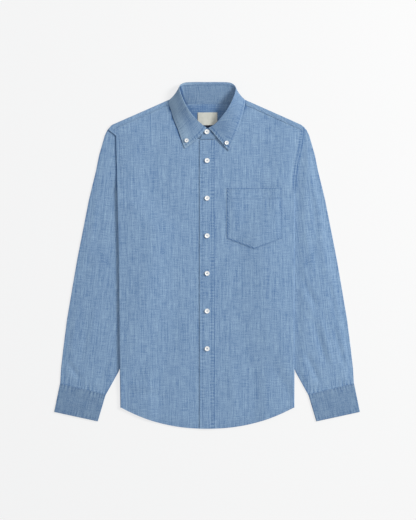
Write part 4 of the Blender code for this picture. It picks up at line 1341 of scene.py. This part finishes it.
# Painted shade in the hollows beside and above the neck button, and the painted shadow beside the
# roll
wear_and_shading = np.maximum(wear_and_shading, DARKEST_SEAM) + painted_hollow_shade(middle, (13.5, 292.0), (6.5, 11.0), dark=2.1)
wear_and_shading = wear_and_shading + painted_hollow_shade(middle, (3.0, 303.0), (15.0, 6.0), dark=2.2)
wear_and_shading = wear_and_shading + roll_shadow(middle[..., 0], middle[..., 1])
grain = np.stack([along, up], axis=2)
stand = cloth_sheet(
    "collar_stand_cloth", middle, grain, STIFF_CLOTH_WALL, COLLAR_CLOTH, wear_and_shading
)
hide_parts("collar_stand")

# %% [markdown]
# ## Leaf of the collar
# The leaf is sewn to the stand's top edge, rolls over and falls outside it. Across, it is one
# smooth curve that leaves the stand straight up and comes down flat, which four points give.
# It is stitched 6 mm in from its edge, and it puckers most along its two points.

# %% Curve of the leaf
POINT_BOW = (3.4, -2.6)  # how far the front edge of the wearer's right point bows out
POINT_BOW_REACH = 24.0

leaf_rows = smooth_rows(collar_controls(), LEAF_STEPS)
seam, top, edge = leaf_rows[:, 0:3], leaf_rows[:, 3:6], leaf_rows[:, 6:9]
roll, reach, arch = leaf_rows[:, 9:10], leaf_rows[:, 10:11], leaf_rows[:, 11:12]
out_of_stand = unit(np.cross(top - seam, np.gradient(top, axis=0)))
first = top + out_of_stand * (STIFF_WALL + GAP)
second = first + unit(top - seam) * roll
third = edge + reach * (top - edge) * (1, 1, 0) + arch * (0, 0, 1)
t = spread((0.0, 0.4, 12), (0.4, 1.0, 20))[None, :, None]
first, second, third, fourth = (p[:, None] for p in (first, second, third, edge))
middle = (1 - t) ** 3 * first + 3 * (1 - t) ** 2 * t * second
middle = off_the_floor(middle + 3 * (1 - t) * t**2 * third + t**3 * fourth)
along = run_lengths(middle, 0)
bow = np.sin(math.pi * np.broadcast_to(t[..., 0], along.shape))
bow = bow * (1.0 - ease(0.0, POINT_BOW_REACH, along))
middle[..., :2] += bow[..., None] * POINT_BOW
print("leaf:", round(float(along.max())), "mm along its edge")

# %% Its puckers
EDGE_STITCH = 6.0
LEAF_EDGE_SEAM, LEAF_POINT_SEAM = (7.0, 2.4), (7.2, 3.4)  # length and start of the waves

along = run_lengths(middle, 0)
from_edge = run_lengths(middle[:, ::-1], 1)[:, ::-1]
from_points = np.minimum(along, along[-1:] - along)
nearest = np.minimum(from_edge, from_points)
waves = pucker(along, from_edge - EDGE_STITCH / 2, LEAF_EDGE_SEAM, 8.0, 0.34)
waves = waves + pucker(from_edge, from_points - EDGE_STITCH / 2, LEAF_POINT_SEAM, 8.0, 0.34)
waves = waves + groove(nearest - EDGE_STITCH, 1.5, 0.2)
middle = off_the_floor(middle - grid_normals(middle) * waves[..., None])
print("waves up to", round(float(np.abs(waves).max()), 2), "mm")

# %% Its wear, painted highlights and painted shade
from_row, point_row = from_edge - EDGE_STITCH, from_points - EDGE_STITCH
wear_and_shading = seam_wear_and_shade(along, from_row, LEAF_EDGE_SEAM, 8.0, dark=0.25, light=0.45)
wear_and_shading = wear_and_shading + seam_wear_and_shade(from_edge, point_row, LEAF_POINT_SEAM, 8.0, dark=0.5, light=0.5)
# A painted highlight along its edges, and pale puckers along its points
wear_and_shading = wear_and_shading + 0.5 * (1.0 - ease(0.0, 2.5, nearest))
wear_and_shading = wear_and_shading + pucker(from_edge, from_points - 1.5, LEAF_POINT_SEAM, 3.5, 0.6)
# A little paler on the wearer's right and darker on the left
wear_and_shading = wear_and_shading - 0.10 * np.clip(middle[..., 0] / 50.0, -1.0, 1.0)
from_roll = run_lengths(middle, 1)
right_side = ease(20.0, 45.0, -middle[..., 0])
upper = ease(325.0, 350.0, middle[..., 1])
# A painted highlight along the roll, and painted shade below it
roll_highlight = 0.35 * (1.0 - ease(3.0, 7.0, from_roll))
shaded = 0.25 * (1.0 - upper) * ease(6.0, 12.0, from_roll) * (1.0 - ease(16.0, 30.0, from_roll))
# Paler towards its edge on the wearer's right
wear_and_shading = wear_and_shading + right_side * (0.5 + 0.3 * upper) * (1.0 - ease(8.0, 34.0, from_edge))
wear_and_shading = wear_and_shading + right_side * (roll_highlight - shaded)

# %% The leaf
grain = np.stack([along, -from_edge], axis=2)
leaf = cloth_sheet("collar_leaf_cloth", middle, grain, STIFF_CLOTH_WALL, COLLAR_CLOTH, wear_and_shading)
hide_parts("collar_leaf")

# %% [markdown]
# ## Buttons
# A shirt button is turned from shell: a disc with a raised rim, a dished middle and four
# holes. One is modelled from a cylinder with inset, extrude and bevel, and its holes are cut
# by a Boolean. Each copy is then turned to lie where its solid lies, with its thread.

# %% Shell of the buttons
SHELL, shader, start = new_material("button_shell", 0.28)
place = start.out(start.node("ShaderNodeTexCoord"), "Object")
swirl = start.node(
    "ShaderNodeTexNoise", None, Vector=place, Scale=260.0, Detail=3.0, Distortion=1.4
)
tint = mixed(start, start.out(swirl), (0.66, 0.67, 0.66), (0.90, 0.90, 0.88))
start.tree.links.new(tint.output, shader.inputs["Base Color"])
shader.inputs["Coat Weight"].default_value = 0.25


# %% Thread
def thread_material(name, dark, light):
    """Twisted thread: fine light and dark bands."""
    made, shader, start = new_material(name, 0.7)
    place = start.out(start.node("ShaderNodeTexCoord"), "Object")
    noise = start.node("ShaderNodeTexNoise", None, Vector=place, Scale=2200.0, Detail=1.0)
    bands = start.out(noise)
    colour = mixed(start, bands, dark, light)
    finish_with(start, shader, colour, bands, strength=0.3, distance=0.0003)
    return made


THREAD = thread_material("thread_blue", (0.120, 0.205, 0.345), (0.215, 0.325, 0.475))
BUTTON_THREAD = thread_material("thread_button", (0.26, 0.34, 0.46), (0.42, 0.50, 0.60))
print("shell and thread made")

# %% One button, modelled at the origin
BUTTON_RADIUS = 5.65
HOLE_SPREAD = 1.15
HOLE_RADIUS = 0.72
RIM_WIDTH = 0.20  # as a share of the radius
DISH_DEPTH = 0.26  # as a share of the thickness
DISH_TAPER = 0.86
BEVEL_WIDTH = 0.3


def select_faces(mesh_object, wanted):
    """In edit mode, selects the faces for which wanted(normal, centre) is true."""
    bpy.ops.object.mode_set(mode="EDIT")
    bpy.ops.mesh.select_mode(type="FACE")
    bpy.ops.mesh.select_all(action="DESELECT")
    bpy.ops.object.mode_set(mode="OBJECT")
    for face in mesh_object.data.polygons:
        face.select = wanted(face.normal, face.center)
    bpy.ops.object.mode_set(mode="EDIT")


def model_button(radius, thickness):
    bpy.ops.object.select_all(action="DESELECT")
    bpy.ops.mesh.primitive_cylinder_add(
        vertices=40, radius=radius * MM, depth=thickness * MM, location=(0, 0, thickness / 2 * MM)
    )
    made = bpy.context.object
    bpy.ops.object.transform_apply(location=True, rotation=False, scale=False)
    select_faces(made, lambda normal, centre: normal.z > 0.9)
    bpy.ops.mesh.inset(thickness=RIM_WIDTH * radius * MM)
    down = (0, 0, -DISH_DEPTH * thickness * MM)
    bpy.ops.mesh.extrude_region_move(TRANSFORM_OT_translate={"value": down})
    bpy.ops.transform.resize(value=(DISH_TAPER, DISH_TAPER, 1.0), center_override=(0, 0, 0))
    bpy.ops.object.mode_set(mode="OBJECT")
    apply_modifier(
        made, "BEVEL", width=BEVEL_WIDTH * MM, segments=2,
        limit_method="ANGLE", angle_limit=math.radians(30),
    )
    drill_holes(made, radius / BUTTON_RADIUS, 4 * thickness * MM)
    made.data.materials.append(SHELL)
    only(made)
    bpy.ops.object.shade_smooth_by_angle(angle=math.radians(40))
    return made


def drill_holes(made, scale, depth):
    """Cuts four holes through a button this many times the size of the large one."""
    cutters = []
    for turn in range(4):
        a = math.pi / 4 + turn * math.pi / 2
        hole = (HOLE_SPREAD * math.cos(a) * MM, HOLE_SPREAD * math.sin(a) * MM, 0.0)
        bpy.ops.object.select_all(action="DESELECT")
        bpy.ops.mesh.primitive_cylinder_add(
            vertices=14, radius=HOLE_RADIUS * scale * MM, depth=depth, location=hole
        )
        cutters.append(bpy.context.object)
    for cutter in cutters:
        apply_modifier(made, "BOOLEAN", operation="DIFFERENCE", solver="EXACT", object=cutter)
        bpy.data.objects.remove(cutter, do_unlink=True)


# %% Its thread
BAR_OVERREACH = 1.35  # past the holes
BAR_WIDTH, BAR_HEIGHT = 0.42, 0.34
BAR_SITS = 0.82  # as a share of the button's thickness
BAR_CROSSES = 0.16  # how far the second stitch lies above the first


def model_button_thread(radius, thickness):
    """Two crossed stitches over the middle of a button."""
    reach = HOLE_SPREAD * radius / BUTTON_RADIUS
    bars = []
    for turn, lift in ((45.0, 0.0), (135.0, BAR_CROSSES)):
        bpy.ops.object.select_all(action="DESELECT")
        bpy.ops.mesh.primitive_uv_sphere_add(segments=8, ring_count=8, radius=1.0 * MM)
        bar = bpy.context.object
        bar.scale = (reach * BAR_OVERREACH, BAR_WIDTH, BAR_HEIGHT)
        bar.rotation_euler = (0.0, 0.0, math.radians(turn))
        bar.location = (0.0, 0.0, (BAR_SITS * thickness + lift) * MM)
        bars.append(bar)
    bpy.ops.object.select_all(action="DESELECT")
    for bar in bars:
        bar.select_set(True)
    bpy.context.view_layer.objects.active = bars[0]
    bpy.ops.object.transform_apply(location=True, rotation=True, scale=True)
    bpy.ops.object.join()
    made = bpy.context.object
    made.data.materials.append(BUTTON_THREAD)
    bpy.ops.object.shade_smooth()
    return made


# %% A copy of it on each solid button
BUTTON_TURNS = {
    # how far each was turned as it was sewn on, in degrees
    "button_neck": 12, "button_1": 4, "button_2": 38, "button_3": -9, "button_4": 21,
    "button_5": 57, "button_6": -3, "button_collar_right": 17, "button_collar_left": 33,
}


def solid_points(node):
    mesh = bpy.data.objects[node].data
    points = np.empty(len(mesh.vertices) * 3)
    mesh.vertices.foreach_get("co", points)
    return points.reshape(-1, 3)


def seat_of(node):
    """Middle, normal, radius and thickness of a solid button."""
    points = np.unique(np.round(solid_points(node), 6), axis=0)
    middle = (points.min(0) + points.max(0)) / 2
    _, _, axes = np.linalg.svd(points - points.mean(0))
    normal = axes[2] * np.sign(axes[2][2])
    heights = (points - middle) @ normal
    radius = np.linalg.norm((points - middle) - heights[:, None] * normal, axis=1).max()
    return middle + normal * heights.min(), normal, radius, heights.max() - heights.min()


def seated_copy(model, name, node, seat, normal, turn):
    made = bpy.data.objects.new(name, model.data.copy())
    made.data.name = name
    bpy.context.collection.objects.link(made)
    turned = Vector((0, 0, 1)).rotation_difference(Vector(normal)).to_matrix().to_4x4()
    placed = turned @ Matrix.Rotation(math.radians(turn), 4, "Z")
    placed.translation = Vector(seat)
    made.data.transform(placed)
    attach(made, "root")
    if node:
        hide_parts(node)


models = {}
for node, turn in BUTTON_TURNS.items():
    seat, normal, radius, thickness = seat_of(node)
    sizes = (radius / MM, thickness / MM)
    kind = "small" if "collar" in node else "large"
    if kind not in models:
        models[kind] = (model_button(*sizes), model_button_thread(*sizes))
        print(kind, "button: radius and thickness", np.round(sizes, 2))
    seated_copy(models[kind][0], node + "_shell", node, seat, normal, turn)
    seated_copy(models[kind][1], node + "_thread", None, seat, normal, turn)
for pair in models.values():
    for model in pair:
        bpy.data.objects.remove(model, do_unlink=True)

# %% [markdown]
# ## The neck label
# A woven label is a short length of ribbon, folded under and sewn at its two ends. It is a
# small sheet of its own, and its finish is a fine rib instead of chambray.

# %% Cloth of the label
label_finish, shader, start = new_material("label_cloth", 0.62)
grain_map = start.out(start.node("ShaderNodeUVMap", {"uv_map": "grain"}))
rib = stretched_noise(start, grain_map, across=6.0, along=0.5, detail=1.0)
soft = stretched_noise(start, grain_map, across=14.0, along=9.0, shift=2.0)
colour = mixed(start, 0.5 * rib + 0.5 * soft, (0.40, 0.40, 0.35), (0.58, 0.58, 0.52))
finish_with(start, shader, colour, rib, strength=0.4, distance=0.0003)
shader.inputs["Sheen Weight"].default_value = 0.2

# %% The label
LABEL_ACROSS = (-21.7, 24.3)
LABEL_UP = (305.5, 335.4)
LABEL_MIDDLE = 1.3
LABEL_WIDE = 46.0
LABEL_BOW = 0.5  # how far its middle stands off the yoke
LABEL_WALL = 0.5
LABEL_CREASES = (
    # start x, start y, end x, end y, half width, height
    (-21, 320, 24, 319, 5, -0.25), (-12, 334, -8, 306, 6, 0.2), (12, 334, 16, 306, 6, -0.15),
)

x, y = np.meshgrid(np.linspace(*LABEL_ACROSS, 32), np.linspace(*LABEL_UP, 22))
bow = LABEL_BOW * np.cos((x - LABEL_MIDDLE) / LABEL_WIDE * math.pi)
z = LAYER + LABEL_WALL + bow + creases(LABEL_CREASES, x, y)
middle = np.stack([x, y, z], axis=2)
label = cloth_sheet("neck_label_cloth", middle, middle[..., [1, 0]], LABEL_WALL, label_finish)
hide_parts("neck_label")

# %% [markdown]
# ## Stitches
# Every seam that shows is a row of stitches about 3 mm long, each sunk into the cloth at its
# ends. One stitch is a short low spindle of thread. A row is planned from above, and each
# stitch is dropped onto the cloth beneath it, so it lies on the real surface, pucker and all.
# Where a row runs past the edge of its sheet, nothing is laid.

# %% One stitch
STITCH_PITCH = 3.0
STITCH_SIZE = (2.3, 0.62, 0.36)  # length, width, height
STITCH_LIFT = 0.06  # of its middle above the cloth
DROPPED_FROM = 0.2  # in metres, above everything


def model_stitch():
    bpy.ops.object.select_all(action="DESELECT")
    bpy.ops.mesh.primitive_cylinder_add(
        vertices=5, radius=0.5, depth=0.5, rotation=(0, math.pi / 2, 0)
    )
    made = bpy.context.object
    bpy.ops.object.transform_apply(location=False, rotation=True, scale=False)
    select_faces(made, lambda normal, centre: abs(normal.x) > 0.9)
    bpy.ops.mesh.extrude_faces_move(TRANSFORM_OT_shrink_fatten={"value": 0.25})
    bpy.ops.transform.resize(value=(1.0, 0.35, 0.35), center_override=(0, 0, 0))
    bpy.ops.object.mode_set(mode="OBJECT")
    return made


stitch = model_stitch()
STITCH_POINTS = np.array([v.co for v in stitch.data.vertices])
STITCH_POINTS /= np.abs(STITCH_POINTS).max(0) * 2
STITCH_FACES = [tuple(face.vertices) for face in stitch.data.polygons]
bpy.data.objects.remove(stitch, do_unlink=True)
print("stitch:", len(STITCH_POINTS), "points")

# %% The helper that lays rows
def tree_of(sheet):
    mesh = sheet.data
    return BVHTree.FromPolygons(
        [v.co for v in mesh.vertices], [tuple(face.vertices) for face in mesh.polygons]
    )


def resampled(line, pitch):
    """Points along a line, one in the middle of each pitch."""
    run = reached(line)
    stations = np.arange(pitch / 2, run[-1], pitch)
    return np.stack([np.interp(stations, run, line[:, k]) for k in (0, 1)], axis=1)


def stitch_rows(name, sheet, lines):
    """Rows of stitches on a sheet, from plan lines in millimetres."""
    tree = tree_of(sheet)
    shape = STITCH_POINTS * STITCH_SIZE * MM
    points, faces = [], []
    for line in lines:
        line = np.asarray(line, float)
        places = resampled(line, STITCH_PITCH)
        ways = np.gradient(places, axis=0) if len(places) > 1 else np.diff(line, axis=0)[:1]
        for (x, y), way in zip(places, ways):
            above = Vector((x * MM, (y - MIDDLE_HEIGHT) * MM, DROPPED_FROM))
            hit, normal, _, _ = tree.ray_cast(above, Vector((0, 0, -1)))
            if hit is None:
                continue
            ahead = Vector((way[0], way[1], 0.0))
            ahead = (ahead - normal * ahead.dot(normal)).normalized()
            axes = np.array([ahead, normal.cross(ahead), normal])
            count = len(points) * len(STITCH_POINTS)
            points.append(np.array(hit) + np.array(normal) * STITCH_LIFT * MM + shape @ axes)
            faces += [tuple(count + k for k in face) for face in STITCH_FACES]
    mesh = bpy.data.meshes.new(name)
    mesh.from_pydata([tuple(p) for p in np.concatenate(points)], [], faces)
    mesh.materials.append(THREAD)
    mesh.shade_smooth()
    made = bpy.data.objects.new(name, mesh)
    bpy.context.collection.objects.link(made)
    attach(made, "root")
    print(name, len(points), "stitches")


def row_of(xs, heights):
    return np.stack(np.broadcast_arrays(xs, heights), axis=1)


# %% Rows on the fronts
HEM_ROW_STARTS = 20.0
ARMHOLE_ROW = (152.0, 300.0)

for side, sign in SIDES.items():
    x = np.linspace(HEM_ROW_STARTS, body_edge(-360.0, side) - 4.0, 120)
    hem_row = row_of(sign * x, hem(x) + HEM_STITCH)
    y = np.linspace(*ARMHOLE_ROW, 60)
    armhole_row = row_of(sign * (body_edge(y, side) - ARMHOLE_STITCH), y)
    stitch_rows("stitches_front_" + side, fronts[side], [hem_row, armhole_row])

# %% Rows on the band and the yoke
free, sewn = BAND_FREE_EDGE + BAND_STITCH, BAND_SEAM_EDGE - BAND_STITCH
y = np.linspace(hem(0.0) + 1.0, NECK_FRONT - 1.0, 40)
x = np.linspace(free, sewn, 8)
band_rows = [row_of(free, y), row_of(sewn, y), row_of(x, hem(x) + HEM_STITCH)]
stitch_rows("stitches_band", band, band_rows)

YOKE_ROW_STARTS = 92.0
YOKE_ROW_UP = 2.4  # from the seam of front and yoke
yoke_rows = []
for side, sign in SIDES.items():
    x = np.linspace(YOKE_ROW_STARTS, body_edge(302.0, side) - 6.0, 50)
    yoke_rows.append(row_of(sign * x, front_top(x) + YOKE_ROW_UP))
stitch_rows("stitches_yoke", yoke, yoke_rows)

# %% Rows on the pocket
CORNER_WIDE = 7.0  # of the stitched triangle at each upper corner
POCKET_ROW_TOP = POCKET_TOP - 1.0
CORNER_ROW = POCKET_TOP - 1.2

left, right = POCKET_INNER + POCKET_STITCH, POCKET_OUTER - POCKET_STITCH
x = np.array([left, POCKET_TIP[0], right])
foot = pocket_low(x) + POCKET_STITCH * 1.05
outline = [(left, POCKET_ROW_TOP), *zip(x, foot), (right, POCKET_ROW_TOP)]
pocket_hem = [(left + 1, POCKET_TOP - POCKET_HEM), (right - 1, POCKET_TOP - POCKET_HEM)]
corners = []
for edge, way in ((left, 1), (right, -1)):
    corner = (edge + way * CORNER_WIDE, CORNER_ROW)
    corners += [[(edge, CORNER_ROW), corner], [corner, (edge, POCKET_TOP - POCKET_HEM)]]
stitch_rows("stitches_pocket", pocket, [outline, pocket_hem, *corners])

# %% Rows on the cuffs
ROW_INSET = 0.025  # share of the cuff's width at each end of its rows

for side, sign in SIDES.items():
    rows = []
    for from_head in (CUFF_STITCH, CUFF_DEEP - CUFF_FOOT_STITCH):
        a, b = (
            (head + (foot - head) * (from_head / CUFF_DEEP)) * (sign, 1.0)
            for head, foot in (np.array(CUFF_OUTER), np.array(CUFF_INNER))
        )
        rows.append([a * (1 - ROW_INSET) + b * ROW_INSET, b * (1 - ROW_INSET) + a * ROW_INSET])
    stitch_rows("stitches_cuff_" + side, cuffs[side], rows)

# %% [markdown]
# The leaf's row follows its edge line, 6 mm to the left of it as it runs from one point round
# the neck to the other. At the back that is on the leaf, so the stitches lie there. At the
# sides it is off the leaf, and the groove and the dark line of its wear and painted shade alone
# show its row.

# %% Rows on the collar
ROLL_STITCH = ((-20.216129, 311.5), (-17.5, 311.5))  # room for one stitch, beside the roll


def moved_left(line, aside):
    """A plan line moved to its left, without the two points at each end."""
    ways = unit(np.gradient(line, axis=0))
    return (line + aside * np.stack([-ways[:, 1], ways[:, 0]], axis=1))[2:-2]


collar_rows = [moved_left(leaf_rows[:, 6:8], EDGE_STITCH), ROLL_STITCH]
stitch_rows("stitches_leaf", leaf, collar_rows)
